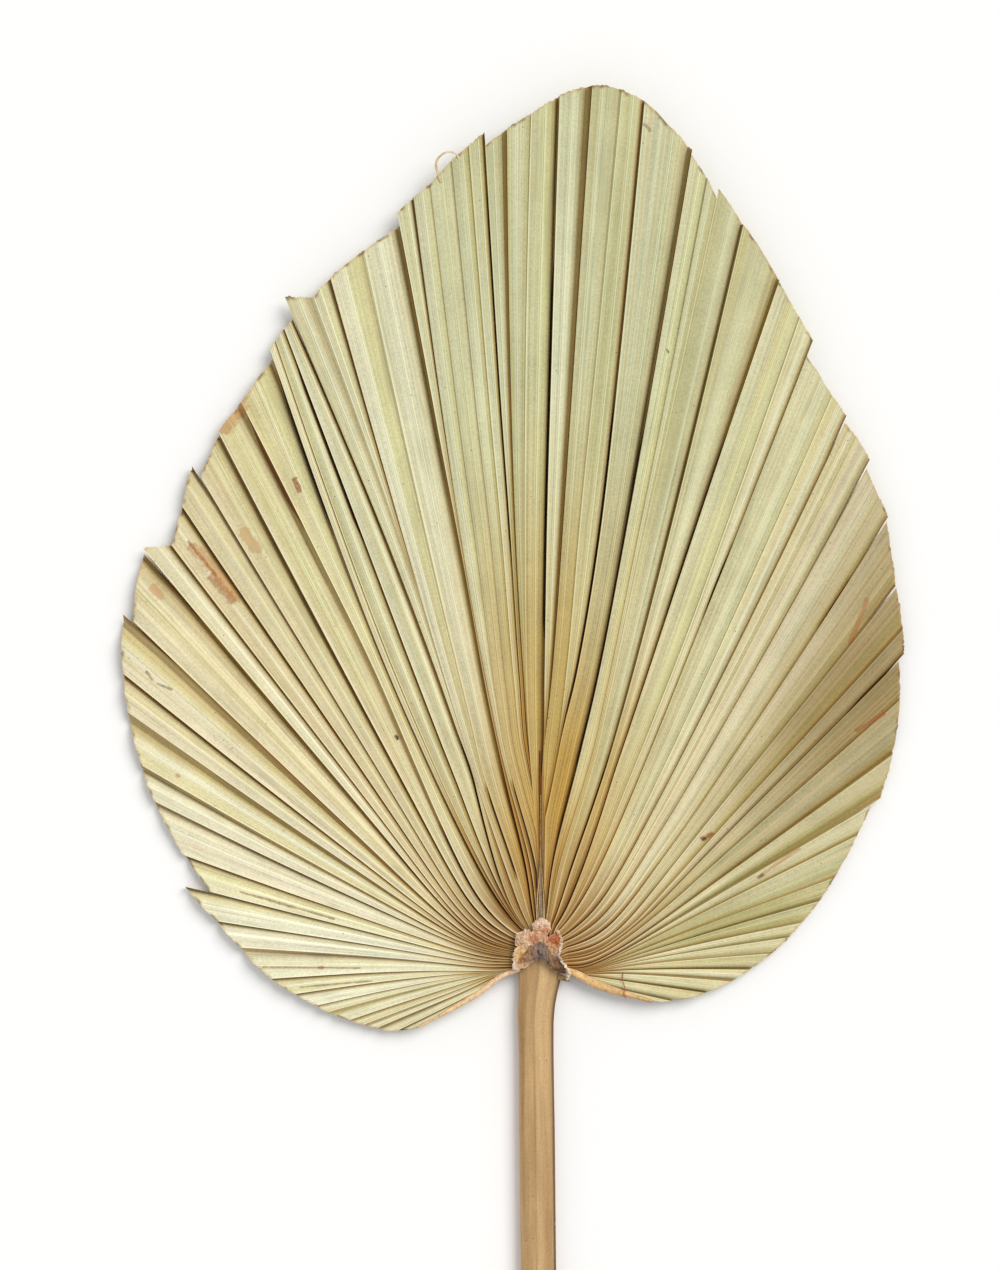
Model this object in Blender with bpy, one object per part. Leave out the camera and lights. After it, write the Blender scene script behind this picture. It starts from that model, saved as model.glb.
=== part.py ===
"""A dried fan palm leaf, picked and trimmed to a spade shape, lying face up.

Metres. +Y runs from the stalk to the leaf's tip and +Z up from the surface that it lies on.
The origin is on the stalk's flat underside, below the place where blade and stalk meet.
Three solids: the pleated blade, the stalk with its widened head, and the papery crest on the joint.
"""

import math
import random

import bmesh
import bpy

MM = 0.001
SEED = 11

# Outline of the trimmed blade, as (bearing in degrees, reach) from the origin.
# Bearing 0 is +Y, and positive bearings are on the +X side.
OUTLINE = (
    (-121, 63 * MM), (-117, 75 * MM), (-110, 88.5 * MM), (-98, 114 * MM), (-86, 141 * MM),
    (-74, 168 * MM), (-62, 206.5 * MM), (-50, 241 * MM), (-38, 264 * MM), (-26, 292 * MM),
    (-14, 329 * MM), (-8, 350 * MM), (-2, 376 * MM), (4, 391 * MM), (10, 369 * MM),
    (16, 338 * MM), (22, 309 * MM), (31, 274 * MM), (43, 235 * MM), (55, 199 * MM),
    (67, 161 * MM), (79, 128.5 * MM), (91, 101 * MM), (103, 76.5 * MM), (113, 53 * MM),
)

# Folds that show in the cut edge: (bearing, pleats since the last one, and how far the edge
# stands beyond the smooth outline just before and just after the fold). The edge runs evenly
# between them, and is slit at a fold whose two sides differ.
CUTS = (
    (-121.0, 0, 0, 0), (-99.0, 7, 0, 0), (-84.0, 3, 1 * MM, 1 * MM), (-79.0, 1, 8 * MM, -5 * MM),
    (-74.3, 1, -1 * MM, 0), (-64.5, 2, 1 * MM, 0), (-50.5, 3, 3.5 * MM, -3 * MM),
    (-44.3, 1, 2.5 * MM, 3.5 * MM), (-41.7, 1, -9 * MM, -9 * MM), (-35.2, 2, 1 * MM, -6 * MM),
    (-31.5, 1, -3 * MM, -2 * MM), (-24.0, 2, -3.5 * MM, 1 * MM), (-21.3, 3, 1 * MM, 11.5 * MM),
    (-19.0, 1, 0, 0), (-17.2, 1, 0, 0), (-10.9, 2, -6 * MM, 0), (-3.9, 5, 1.5 * MM, -4.5 * MM),
    (1.3, 3, -2 * MM, -2 * MM), (7.0, 3, 2.5 * MM, 2.5 * MM), (10.7, 1, 1.5 * MM, -1 * MM),
    (13.1, 2, -5 * MM, -0.5 * MM), (19.5, 2, 1 * MM, 0), (23.9, 2, 1 * MM, -6.5 * MM),
    (29.7, 2, 0, -3 * MM), (33.8, 2, 3 * MM, -1 * MM), (38.6, 2, 3 * MM, 1 * MM),
    (44.0, 2, -1.5 * MM, -1.5 * MM), (50.5, 2, 0, -3.5 * MM), (60.3, 2, 1 * MM, 1 * MM),
    (65.5, 1, 3 * MM, -1.5 * MM), (79.0, 3, 0, 0), (94.0, 4, 0, 0), (113.0, 4, 0, 0),
)
FOLD_JITTER = 0.24      # share of a pleat's width that a fold strays from even spacing
VALLEY_JITTER = 0.14    # the same for the valley between two folds
CUT_JITTER = 0.9 * MM   # how far a pleat's corner strays from the even cut
SLIT_HALF_WIDTH = (0.15 * MM, 0.5 * MM)

# Where the ribs start: a horseshoe round the stalk's head.
SEAT_CENTRE = (0.4 * MM, -3.2 * MM)
SEAT_HALF_WIDTH = 12.2 * MM
SEAT_HALF_LENGTH = 19.8 * MM
SEAT_END_ANGLE = 108.0
SEAT_SPREAD = 0.62      # under 1 crowds the ribs towards the horseshoe's two ends

# How a rib bends: it leaves the seat more sideways than its tip lies, and then straightens.
SIDEWAYS = 102.0
SIDEWAYS_BEARING = 42.0
SAG_FROM = 0.87         # past this share of their side the lowest ribs leave downwards,
SAG = 23.0              # the margin itself by so many degrees
BEND_SHARE = 0.22
BEND_MOST = 38 * MM

RINGS = (0.0, 0.05, 0.11, 0.18, 0.27, 0.38, 0.51, 0.65, 0.8, 0.94, 1.0)

# Height of the blade's middle surface above the ground, and depth of its pleats.
SEAT_HEIGHT = 6.2 * MM
LOW_HEIGHT = 1.4 * MM
LOW_FROM = 95 * MM
LOW_TO = 165 * MM
SIDE_LIFT = 15 * MM
TIP_LIFT = 9 * MM
LIFT_REACH = 215 * MM
LIFT_POWER = 1.6
SWELL = 2.2 * MM        # slow waves round the blade, by so many in a full turn, and turned so far
SWELL_WAVES = 3
SWELL_TURN = 0.8
SKIRT_SLOPE = 0.035     # the two lowest lobes rise a little from here on
SKIRT_FROM = 30 * MM
SKIRT_BEARINGS = (math.radians(70), math.radians(115))
PLEAT_DEPTH_SHARE = 0.36
PLEAT_DEPTH_MOST = 5.2 * MM
BLADE_THICKNESS = 0.8 * MM
SEAT_THICKNESS = 1.7 * MM
THIN_BY = 40 * MM

# The midrib's swelling under the blade, where the stalk runs on into it.
COSTA_LENGTH = 85 * MM
COSTA_HALF_WIDTH = 5 * MM
COSTA_DEPTH = 2.6 * MM

# Stalk.
STALK_END = -250 * MM
STALK_HALF_WIDTH = 8.0 * MM
STALK_SHIFT = -2.2 * MM  # where its middle line would cross the X axis
STALK_LEAN = -0.011     # and how far that line moves sideways for each metre up
STALK_HEIGHT = 8.6 * MM
FLARE_START = -9 * MM
FLARE = 1.9 * MM
FLARE_LENGTH = 9 * MM
HEAD_START = -30 * MM   # from here on the middle line turns to the seat's own middle
HEAD_GAP = 0.35 * MM
HEAD_STEPS = 7
HEAD_SWEEP = math.radians(86)
SHAFT_STEPS = 4
FLARE_STEPS = 9
# Half of the stalk's section, as shares of its half width and of its height.
STALK_SECTION = ((0.42, 0.0), (0.84, 0.18), (1.0, 0.46), (0.95, 0.72), (0.68, 0.9), (0.0, 1.0))

# Crest on the joint, as (bearing, reach) from its own middle.
CREST_MIDDLE = (-0.8 * MM, 1.8 * MM)
CREST_OUTLINE = (
    (-180, 4.6 * MM), (-160, 8.5 * MM), (-140, 13 * MM), (-121, 14 * MM), (-94, 11.8 * MM),
    (-62, 11.4 * MM), (-30, 13 * MM), (-10, 12 * MM), (5, 15 * MM), (24, 10.5 * MM),
    (42, 13.4 * MM), (68, 11 * MM), (100, 10.6 * MM), (128, 17.5 * MM), (145, 9.5 * MM),
    (180, 4.6 * MM),
)
CREST_COLUMNS = 40
CREST_RINGS = (0.3, 0.65, 1.0)
CREST_GAP = 0.3 * MM
CREST_RISE = 2.4 * MM
CREST_EDGE = 0.8 * MM
CREST_RUFFLE = 0.45 * MM
CREST_RUFFLES = 9
CREST_RUFFLE_TURN = 0.6


def clear_scene():
    for thing in list(bpy.data.objects):
        bpy.data.objects.remove(thing)


def smooth_step(value, start, end):
    share = min(1.0, max(0.0, (value - start) / (end - start)))
    return share * share * (3 - 2 * share)


def read_curve(points, x):
    """The height at x of a smooth curve through the points, which stand in order of x."""
    x = min(points[-1][0], max(points[0][0], x))
    k = max(i for i in range(len(points) - 1) if points[i][0] <= x)
    (x0, y0), (x1, y1) = points[k], points[k + 1]
    before = points[max(k - 1, 0)]
    after = points[min(k + 2, len(points) - 1)]
    width = x1 - x0
    t = (x - x0) / width
    slope0 = (y1 - before[1]) / (x1 - before[0]) * width
    slope1 = (after[1] - y0) / (after[0] - x0) * width
    return (
        (2 * t**3 - 3 * t**2 + 1) * y0
        + (t**3 - 2 * t**2 + t) * slope0
        + (3 * t**2 - 2 * t**3) * y1
        + (t**3 - t**2) * slope1
    )


def on_bearing(bearing, reach, middle=(0.0, 0.0)):
    angle = math.radians(bearing)
    return middle[0] + reach * math.sin(angle), middle[1] + reach * math.cos(angle)


def fold_table(rng):
    """Every fold as (bearing, edge beyond the outline before it, and after it)."""
    folds = [(CUTS[0][0], 0.0, 0.0)]
    for (start, _, _, left), (end, count, before, after) in zip(CUTS, CUTS[1:]):
        pitch = (end - start) / count
        for i in range(1, count):
            bearing = start + pitch * (i + FOLD_JITTER * rng.uniform(-1, 1))
            step = left + (before - left) * i / count + CUT_JITTER * rng.uniform(-1, 1)
            folds.append((bearing, step, step))
        folds.append((end, before, after))
    return folds


def rib_points(bearing):
    """The three points of a rib's bend: on the seat, where it turns, and at the smooth outline."""
    share = bearing / CUTS[0 if bearing < 0 else -1][0]
    sag = SAG * max(0.0, share - SAG_FROM) / (1 - SAG_FROM)
    turn = math.radians(math.copysign(SEAT_END_ANGLE * share**SEAT_SPREAD, bearing))
    start = (
        SEAT_CENTRE[0] + SEAT_HALF_WIDTH * math.sin(turn),
        SEAT_CENTRE[1] + SEAT_HALF_LENGTH * math.cos(turn),
    )
    end = on_bearing(bearing, read_curve(OUTLINE, bearing))
    span = math.dist(start, end)
    leave = SIDEWAYS * (1 - math.exp(-abs(bearing) / SIDEWAYS_BEARING))
    reach = min(BEND_SHARE * span, BEND_MOST)
    return start, on_bearing(math.copysign(leave + sag, bearing), reach, start), end


def on_rib(points, share, beyond=0.0):
    """A point of the rib, and past its end where beyond is given."""
    start, turn, end = points
    left = 1 - share
    x, y = (
        left * left * a + 2 * left * share * b + share * share * c
        for a, b, c in zip(start, turn, end)
    )
    run = math.dist(turn, end)
    return x + beyond * (end[0] - turn[0]) / run, y + beyond * (end[1] - turn[1]) / run


def middle_height(x, y):
    """The blade's own form: down from the seat to a low belt, then up to its edges."""
    reach = math.hypot(x, y)
    bearing = math.atan2(x, y)
    down = smooth_step(reach, SEAT_HALF_LENGTH, LOW_FROM)
    height = SEAT_HEIGHT + (LOW_HEIGHT - SEAT_HEIGHT) * down
    rise = max(0.0, (reach - LOW_TO) / LIFT_REACH)
    sideways = math.sin(bearing) ** 2
    height += (TIP_LIFT + (SIDE_LIFT - TIP_LIFT) * sideways) * rise**LIFT_POWER
    skirt = smooth_step(abs(bearing), *SKIRT_BEARINGS)
    height += skirt * SKIRT_SLOPE * max(0.0, reach - SKIRT_FROM)
    swell = SWELL * math.sin(SWELL_WAVES * bearing + SWELL_TURN)
    return height + swell * smooth_step(reach, LOW_TO, 2 * LOW_TO)


def pleat_depth(width):
    return min(PLEAT_DEPTH_SHARE * width, PLEAT_DEPTH_MOST)


def costa_depth(x, y):
    across = 1 - (x / COSTA_HALF_WIDTH) ** 2
    along = min(1.0, 1 - (y - SEAT_HALF_LENGTH) / COSTA_LENGTH)
    return COSTA_DEPTH * max(0.0, across) * max(0.0, along) if y > 0 else 0.0


def finish(name, mesh, colour, roughness):
    """Makes the node from a closed bmesh and gives it its own material."""
    bmesh.ops.recalc_face_normals(mesh, faces=mesh.faces)
    data = bpy.data.meshes.new(name)
    mesh.to_mesh(data)
    mesh.free()
    node = bpy.data.objects.new(name, data)
    bpy.context.scene.collection.objects.link(node)
    material = bpy.data.materials.new(name)
    material.use_nodes = True
    shader = material.node_tree.nodes["Principled BSDF"]
    shader.inputs["Base Color"].default_value = (*colour, 1.0)
    shader.inputs["Roughness"].default_value = roughness
    shader.inputs["Metallic"].default_value = 0.0
    data.materials.append(material)
    return node


class Blade:
    """The pleated sheet. Its columns run along the ribs: even ones are ridges, odd ones valleys.

    Where the cut edge steps at a ridge, the sheet is slit there from the last ring but one.
    """

    def __init__(self, rng):
        self.mesh = bmesh.new()
        self.folds = fold_table(rng)
        self.slits = [rng.uniform(*SLIT_HALF_WIDTH) for _ in self.folds]
        self.valleys = [
            left[0] + (right[0] - left[0]) * (0.5 + VALLEY_JITTER * rng.uniform(-1, 1))
            for left, right in zip(self.folds, self.folds[1:])
        ]
        self.last_column = 2 * (len(self.folds) - 1)
        self.last_ring = len(RINGS) - 1
        self.ribs = [rib_points(self.bearing(c)) for c in range(self.last_column + 1)]
        self.made = {}

    def bearing(self, column):
        return self.valleys[column // 2] if column % 2 else self.folds[column // 2][0]

    def is_slit(self, column):
        """Whether the edge is slit at this column: at folds whose two sides end unevenly."""
        if column % 2 or column in (0, self.last_column):
            return False
        return self.folds[column // 2][1] != self.folds[column // 2][2]

    def place(self, column, ring, side):
        """Where a grid point lies, seen from above. side is -1 or 1 on a slit's two lips."""
        share = RINGS[ring]
        if ring < self.last_ring:
            return on_rib(self.ribs[column], share)
        fold = column // 2
        if column % 2:
            beyond = (self.folds[fold][2] + self.folds[fold + 1][1]) / 2
            return on_rib(self.ribs[column], share, beyond)
        beyond = self.folds[fold][2 if side > 0 else 1]
        x, y = on_rib(self.ribs[column], share, beyond)
        if side == 0:
            return x, y
        inwards = self.ribs[column + side][2]
        run = math.dist((x, y), inwards)
        step = self.slits[fold] / run
        return x + (inwards[0] - x) * step, y + (inwards[1] - y) * step

    def heights(self, column, ring, x, y):
        """Top and underside of the sheet at a grid point."""
        low = max(column - 1, 0)
        high = min(column + 1, self.last_column)
        share = RINGS[ring]
        width = math.dist(on_rib(self.ribs[low], share), on_rib(self.ribs[high], share))
        width *= 2 / (high - low)
        half = pleat_depth(width) / 2
        reach = math.hypot(x, y)
        thick = SEAT_THICKNESS + (BLADE_THICKNESS - SEAT_THICKNESS) * smooth_step(reach, 0, THIN_BY)
        middle = middle_height(x, y) + (half if column % 2 == 0 else -half)
        top = max(middle + thick / 2, thick)
        return top, max(top - thick - costa_depth(x, y), 0.0)

    def pair(self, column, ring, side=0):
        """The upper and lower vertex of a grid point, made when first asked for."""
        if ring < self.last_ring or not self.is_slit(column):
            side = 0
        key = (column, ring, side)
        if key not in self.made:
            x, y = self.place(*key)
            top, under = self.heights(column, ring, x, y)
            self.made[key] = (self.mesh.verts.new((x, y, top)), self.mesh.verts.new((x, y, under)))
        return self.made[key]

    def patch(self, corners):
        """Two triangles on each face of the sheet, split along the same diagonal."""
        a, b, c, d = corners
        for first, second, third in ((a, b, c), (a, c, d)):
            self.mesh.faces.new((first[0], second[0], third[0]))
            self.mesh.faces.new((third[1], second[1], first[1]))

    def wall(self, a, b):
        self.mesh.faces.new((a[0], a[1], b[1]))
        self.mesh.faces.new((a[0], b[1], b[0]))

    def build(self):
        for column in range(self.last_column):
            here, there = (1, 0) if column % 2 == 0 else (0, -1)
            for ring in range(self.last_ring):
                self.patch((
                    self.pair(column, ring, here),
                    self.pair(column, ring + 1, here),
                    self.pair(column + 1, ring + 1, there),
                    self.pair(column + 1, ring, there),
                ))
            self.wall(self.pair(column, 0), self.pair(column + 1, 0))
            outer = self.last_ring
            self.wall(self.pair(column + 1, outer, there), self.pair(column, outer, here))
        for ring in range(self.last_ring):
            self.wall(self.pair(0, ring), self.pair(0, ring + 1))
            self.wall(self.pair(self.last_column, ring + 1), self.pair(self.last_column, ring))
        for column in filter(self.is_slit, range(self.last_column)):
            inner = self.pair(column, self.last_ring - 1)
            for side in (-1, 1):
                self.wall(inner, self.pair(column, self.last_ring, side))
        return finish("blade", self.mesh, (0.72, 0.66, 0.42), 0.7)


def stalk_half_width(y):
    """The stalk widens towards the joint, and its head fills the horseshoe but for a small gap."""
    wide = SEAT_HALF_WIDTH - HEAD_GAP
    long = SEAT_HALF_LENGTH - HEAD_GAP
    if y >= SEAT_CENTRE[1]:
        return wide * math.sqrt(max(0.0, 1 - ((y - SEAT_CENTRE[1]) / long) ** 2))
    flared = STALK_HALF_WIDTH + FLARE * math.exp(min(0.0, y - FLARE_START) / FLARE_LENGTH)
    return flared + (wide - flared) * smooth_step(y, FLARE_START, SEAT_CENTRE[1])


def stalk_stations():
    """Distances along the stalk at which its section is drawn, closer together at the head."""
    shaft_end = FLARE_START - 3 * FLARE_LENGTH
    shaft = (shaft_end - STALK_END) / SHAFT_STEPS
    flare = (SEAT_CENTRE[1] - shaft_end) / FLARE_STEPS
    head = SEAT_HALF_LENGTH - HEAD_GAP
    turns = [HEAD_SWEEP * i / (HEAD_STEPS - 1) for i in range(HEAD_STEPS)]
    return (
        [STALK_END + i * shaft for i in range(SHAFT_STEPS)]
        + [shaft_end + i * flare for i in range(FLARE_STEPS)]
        + [SEAT_CENTRE[1] + head * math.sin(turn) for turn in turns]
    )


def stalk_section(y):
    """One ring of points, once round the stalk, starting on the right of its flat underside."""
    half = stalk_half_width(y)
    to_head = smooth_step(y, HEAD_START, SEAT_CENTRE[1])
    middle = STALK_SHIFT + STALK_LEAN * y
    middle += (SEAT_CENTRE[0] - middle) * to_head
    right = [(middle + half * across, y, STALK_HEIGHT * up) for across, up in STALK_SECTION]
    left = [(2 * middle - x, y, z) for x, y, z in reversed(right[:-1])]
    return right + left


def build_stalk():
    mesh = bmesh.new()
    rings = [[mesh.verts.new(p) for p in stalk_section(y)] for y in stalk_stations()]
    for near, far in zip(rings, rings[1:]):
        for i in range(len(near)):
            j = (i + 1) % len(near)
            mesh.faces.new((near[i], near[j], far[j], far[i]))
    mesh.faces.new(rings[0])
    mesh.faces.new(rings[-1])
    bmesh.ops.triangulate(mesh, faces=mesh.faces)
    return finish("stalk", mesh, (0.5, 0.33, 0.17), 0.6)


def crest_top(bearing, share):
    """Height of the crest's upper side: high and creased in the middle, ruffled at its edge."""
    edge = share**1.5
    ruffle = CREST_RUFFLE * math.sin(CREST_RUFFLES * math.radians(bearing) + CREST_RUFFLE_TURN)
    return CREST_EDGE + CREST_RISE * (1 - edge) + ruffle * edge


def build_crest():
    mesh = bmesh.new()
    floor = STALK_HEIGHT + CREST_GAP
    step = 360 / CREST_COLUMNS
    bearings = [-180 + i * step for i in range(CREST_COLUMNS)]

    def point(bearing, share, up):
        reach = share * read_curve(CREST_OUTLINE, bearing)
        return mesh.verts.new((*on_bearing(bearing, reach, CREST_MIDDLE), floor + up))

    tops = [[point(b, s, crest_top(b, s)) for b in bearings] for s in CREST_RINGS]
    unders = [[point(b, s, 0.0) for b in bearings] for s in CREST_RINGS]
    peak = point(0.0, 0.0, crest_top(0.0, 0.0))
    sole = point(0.0, 0.0, 0.0)
    for i in range(CREST_COLUMNS):
        j = (i + 1) % CREST_COLUMNS
        mesh.faces.new((peak, tops[0][i], tops[0][j]))
        mesh.faces.new((sole, unders[0][j], unders[0][i]))
        for inner, outer in zip(tops, tops[1:]):
            mesh.faces.new((inner[i], outer[i], outer[j], inner[j]))
        for inner, outer in zip(unders, unders[1:]):
            mesh.faces.new((inner[j], outer[j], outer[i], inner[i]))
        mesh.faces.new((tops[-1][i], unders[-1][i], unders[-1][j], tops[-1][j]))
    bmesh.ops.triangulate(mesh, faces=mesh.faces)
    return finish("crest", mesh, (0.5, 0.34, 0.24), 0.8)


def main():
    clear_scene()
    Blade(random.Random(SEED)).build()
    build_stalk()
    build_crest()


main()
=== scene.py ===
"""Looks of a dried fan palm leaf, trimmed to a spade shape and lying face up.

Metres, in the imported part's own frame: +Y runs from the stalk to the leaf's tip and +Z up from
the surface that the leaf lies on. The blade is drawn along its ribs, from the same folds, ribs
and heights as the part's solids, and each pleat then gets its real section and finish.
"""

import math
import random

import bpy
import numpy as np
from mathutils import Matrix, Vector, noise


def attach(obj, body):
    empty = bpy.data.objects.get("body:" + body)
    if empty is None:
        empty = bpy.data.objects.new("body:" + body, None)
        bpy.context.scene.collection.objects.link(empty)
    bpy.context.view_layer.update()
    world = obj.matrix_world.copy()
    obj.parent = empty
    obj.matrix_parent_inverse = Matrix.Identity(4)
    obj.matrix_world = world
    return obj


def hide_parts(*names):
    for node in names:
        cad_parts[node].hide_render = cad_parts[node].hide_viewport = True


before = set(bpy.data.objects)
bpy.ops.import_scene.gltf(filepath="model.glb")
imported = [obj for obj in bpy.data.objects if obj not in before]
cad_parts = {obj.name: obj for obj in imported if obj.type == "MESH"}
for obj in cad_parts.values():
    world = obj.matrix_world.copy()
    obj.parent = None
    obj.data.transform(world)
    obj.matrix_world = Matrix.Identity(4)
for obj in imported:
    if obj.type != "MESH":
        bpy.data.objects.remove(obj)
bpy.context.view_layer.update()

MM = 0.001
SEED = 11                # the folds, as in the solids
LOOK_SEED = 23
CREST_SEED = 21


def metres(columns, rows):
    """The rows of a table, with these of its columns turned from millimetres to metres."""
    return tuple(
        tuple(value * MM if k in columns else value for k, value in enumerate(row)) for row in rows
    )


# The blade's form, as in the solids. Bearings are in degrees from +Y, positive towards +X.
# The outline is (bearing, reach from the joint).
OUTLINE = metres([1], (
    (-121, 63), (-117, 75), (-110, 88.5), (-98, 114), (-86, 141), (-74, 168), (-62, 206.5), (-50, 241),
    (-38, 264), (-26, 292), (-14, 329), (-8, 350), (-2, 376), (4, 391), (10, 369), (16, 338), (22, 309),
    (31, 274), (43, 235), (55, 199), (67, 161), (79, 128.5), (91, 101), (103, 76.5), (113, 53),
))
# Folds that show in the cut edge: (bearing, pleats since the last one, and how far the edge
# stands beyond the smooth outline just before and just after the fold).
CUTS = metres([2, 3], (
    (-121.0, 0, 0, 0), (-99.0, 7, 0, 0), (-84.0, 3, 1, 1), (-79.0, 1, 8, -5), (-74.3, 1, -1, 0),
    (-64.5, 2, 1, 0), (-50.5, 3, 3.5, -3), (-44.3, 1, 2.5, 3.5), (-41.7, 1, -9, -9), (-35.2, 2, 1, -6),
    (-31.5, 1, -3, -2), (-24.0, 2, -3.5, 1), (-21.3, 3, 1, 11.5), (-19.0, 1, 0, 0), (-17.2, 1, 0, 0),
    (-10.9, 2, -6, 0), (-3.9, 5, 1.5, -4.5), (1.3, 3, -2, -2), (7.0, 3, 2.5, 2.5), (10.7, 1, 1.5, -1),
    (13.1, 2, -5, -0.5), (19.5, 2, 1, 0), (23.9, 2, 1, -6.5), (29.7, 2, 0, -3), (33.8, 2, 3, -1),
    (38.6, 2, 3, 1), (44.0, 2, -1.5, -1.5), (50.5, 2, 0, -3.5), (60.3, 2, 1, 1), (65.5, 1, 3, -1.5),
    (79.0, 3, 0, 0), (94.0, 4, 0, 0), (113.0, 4, 0, 0),
))
FOLD_JITTER = 0.24
CUT_JITTER = 0.9 * MM
SEAT_CENTRE = (0.4 * MM, -3.2 * MM)
SEAT_HALF_WIDTH = 12.2 * MM
SEAT_HALF_LENGTH = 19.8 * MM
SEAT_END_ANGLE = 108.0
SEAT_SPREAD = 0.62
SIDEWAYS = 102.0
SIDEWAYS_BEARING = 42.0
SAG_FROM = 0.87
SAG = 23.0
BEND_SHARE = 0.22
BEND_MOST = 38 * MM
SEAT_HEIGHT = 6.2 * MM
LOW_HEIGHT = 1.4 * MM
LOW_FROM = 95 * MM
LOW_TO = 165 * MM
SIDE_LIFT = 15 * MM
TIP_LIFT = 9 * MM
LIFT_REACH = 215 * MM
LIFT_POWER = 1.6
SWELL = 2.2 * MM
SWELL_WAVES = 3
SWELL_TURN = 0.8
SKIRT_SLOPE = 0.035
SKIRT_FROM = 30 * MM
SKIRT_BEARINGS = (math.radians(70), math.radians(115))
PLEAT_DEPTH_SHARE = 0.36
PLEAT_DEPTH_MOST = 5.2 * MM
COSTA_LENGTH = 85 * MM
COSTA_HALF_WIDTH = 5 * MM
COSTA_DEPTH = 2.6 * MM

# The stalk's form, as in the solids.
STALK_END = -250 * MM
STALK_HALF_WIDTH = 8.0 * MM
STALK_SHIFT = -2.2 * MM
STALK_LEAN = -0.011
STALK_HEIGHT = 8.6 * MM
FLARE_START = -9 * MM
FLARE = 1.9 * MM
FLARE_LENGTH = 9 * MM
HEAD_START = -30 * MM
HEAD_GAP = 0.35 * MM
STALK_SECTION = ((0.42, 0.0), (0.84, 0.18), (1.0, 0.46), (0.95, 0.72), (0.68, 0.9), (0.0, 1.0))
HEAD_SLOPE = 0.27
STALK_ROUND = 26         # points from the underside to the top of one half of its section
STALK_ROWS = 120         # rows of the shaft
HEAD_ROWS = 26
CUT_END_ROUND = (0.0, 0.5, 0.93)    # the section's shrinking at the cut end's closing rows
# Ridges of the fibres round the stalk: (share, how many, turn, turns for each metre).
STALK_RIDGES = ((0.4, 23, 1.3, 0), (0.35, 37, 0.4, 9), (0.3, 61, 0, 50))
RIDGE_SHARE = 0.013
RIDGE_HEIGHT = 0.10 * MM

# A pleat's section, from 0 on its left fold to 1 on its right fold. It falls from the fold's
# edge to the midrib, then into the valley, and climbs steeply to the next fold.
ACROSS = np.array((
    0, 0.03, 0.09, 0.17, 0.26, 0.34, 0.41, 0.45, 0.49, 0.56, 0.65, 0.74, 0.82, 0.87, 0.90, 0.94, 1,
))
MIDRIB = 0.45
VALLEY = 0.90
FLANK_ROUND = 2.1
FACE_SAG = 0.04
MIDRIB_LINE = 0.12 * MM
ROWS = 128
SHEET = 0.6 * MM
SHEET_AT_SEAT = 1.2 * MM
SHEET_EVEN_FROM = 40 * MM
SHEET_ON_HEAD = 0.25 * MM
WELD_REACH = 0.002 * MM
OPEN_FLANKS = 0.22       # share of the pleats whose steep side shows from above
SECTORS = (0, 19, 37, 55, 73)   # first pleat of each of the four pieces, and the end


def smooth_step(value, start, end):
    share = np.clip((value - start) / (end - start), 0.0, 1.0)
    return share * share * (3 - 2 * share)


def read_curve(points, x):
    """The height at x of a smooth curve through the points, which stand in order of x."""
    x = min(points[-1][0], max(points[0][0], x))
    k = max(i for i in range(len(points) - 1) if points[i][0] <= x)
    (x0, y0), (x1, y1) = points[k], points[k + 1]
    before = points[max(k - 1, 0)]
    after = points[min(k + 2, len(points) - 1)]
    width = x1 - x0
    t = (x - x0) / width
    slope0 = (y1 - before[1]) / (x1 - before[0]) * width
    slope1 = (after[1] - y0) / (after[0] - x0) * width
    return (
        (2 * t**3 - 3 * t**2 + 1) * y0
        + (t**3 - 2 * t**2 + t) * slope0
        + (3 * t**2 - 2 * t**3) * y1
        + (t**3 - t**2) * slope1
    )


def on_bearing(bearing, reach, middle=(0.0, 0.0)):
    angle = math.radians(bearing)
    return middle[0] + reach * math.sin(angle), middle[1] + reach * math.cos(angle)


def fold_table():
    """Every fold as (bearing, edge beyond the outline before it, and after it)."""
    rng = random.Random(SEED)
    folds = [(CUTS[0][0], 0.0, 0.0)]
    for (start, _, _, left), (end, count, before, after) in zip(CUTS, CUTS[1:]):
        pitch = (end - start) / count
        for i in range(1, count):
            bearing = start + pitch * (i + FOLD_JITTER * rng.uniform(-1, 1))
            step = left + (before - left) * i / count + CUT_JITTER * rng.uniform(-1, 1)
            folds.append((bearing, step, step))
        folds.append((end, before, after))
    return folds


def rib_points(bearing):
    """The three points of a rib's bend: on the seat, where it turns, and at the smooth outline."""
    share = bearing / CUTS[0 if bearing < 0 else -1][0]
    sag = SAG * max(0.0, share - SAG_FROM) / (1 - SAG_FROM)
    turn = math.radians(math.copysign(SEAT_END_ANGLE * share**SEAT_SPREAD, bearing))
    start = (
        SEAT_CENTRE[0] + SEAT_HALF_WIDTH * math.sin(turn),
        SEAT_CENTRE[1] + SEAT_HALF_LENGTH * math.cos(turn),
    )
    end = on_bearing(bearing, read_curve(OUTLINE, bearing))
    leave = SIDEWAYS * (1 - math.exp(-abs(bearing) / SIDEWAYS_BEARING))
    reach = min(BEND_SHARE * math.dist(start, end), BEND_MOST)
    return start, on_bearing(math.copysign(leave + sag, bearing), reach, start), end


def costa_depth(x, y):
    """How far the midrib swells below the blade."""
    across = np.maximum(0.0, 1 - (x / COSTA_HALF_WIDTH) ** 2)
    along = np.clip(1 - (y - SEAT_HALF_LENGTH) / COSTA_LENGTH, 0.0, 1.0)
    return COSTA_DEPTH * across * along * (y > 0)


def sheet_at(x, y):
    return SHEET_AT_SEAT + (SHEET - SHEET_AT_SEAT) * smooth_step(np.hypot(x, y), 0, SHEET_EVEN_FROM)


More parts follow.
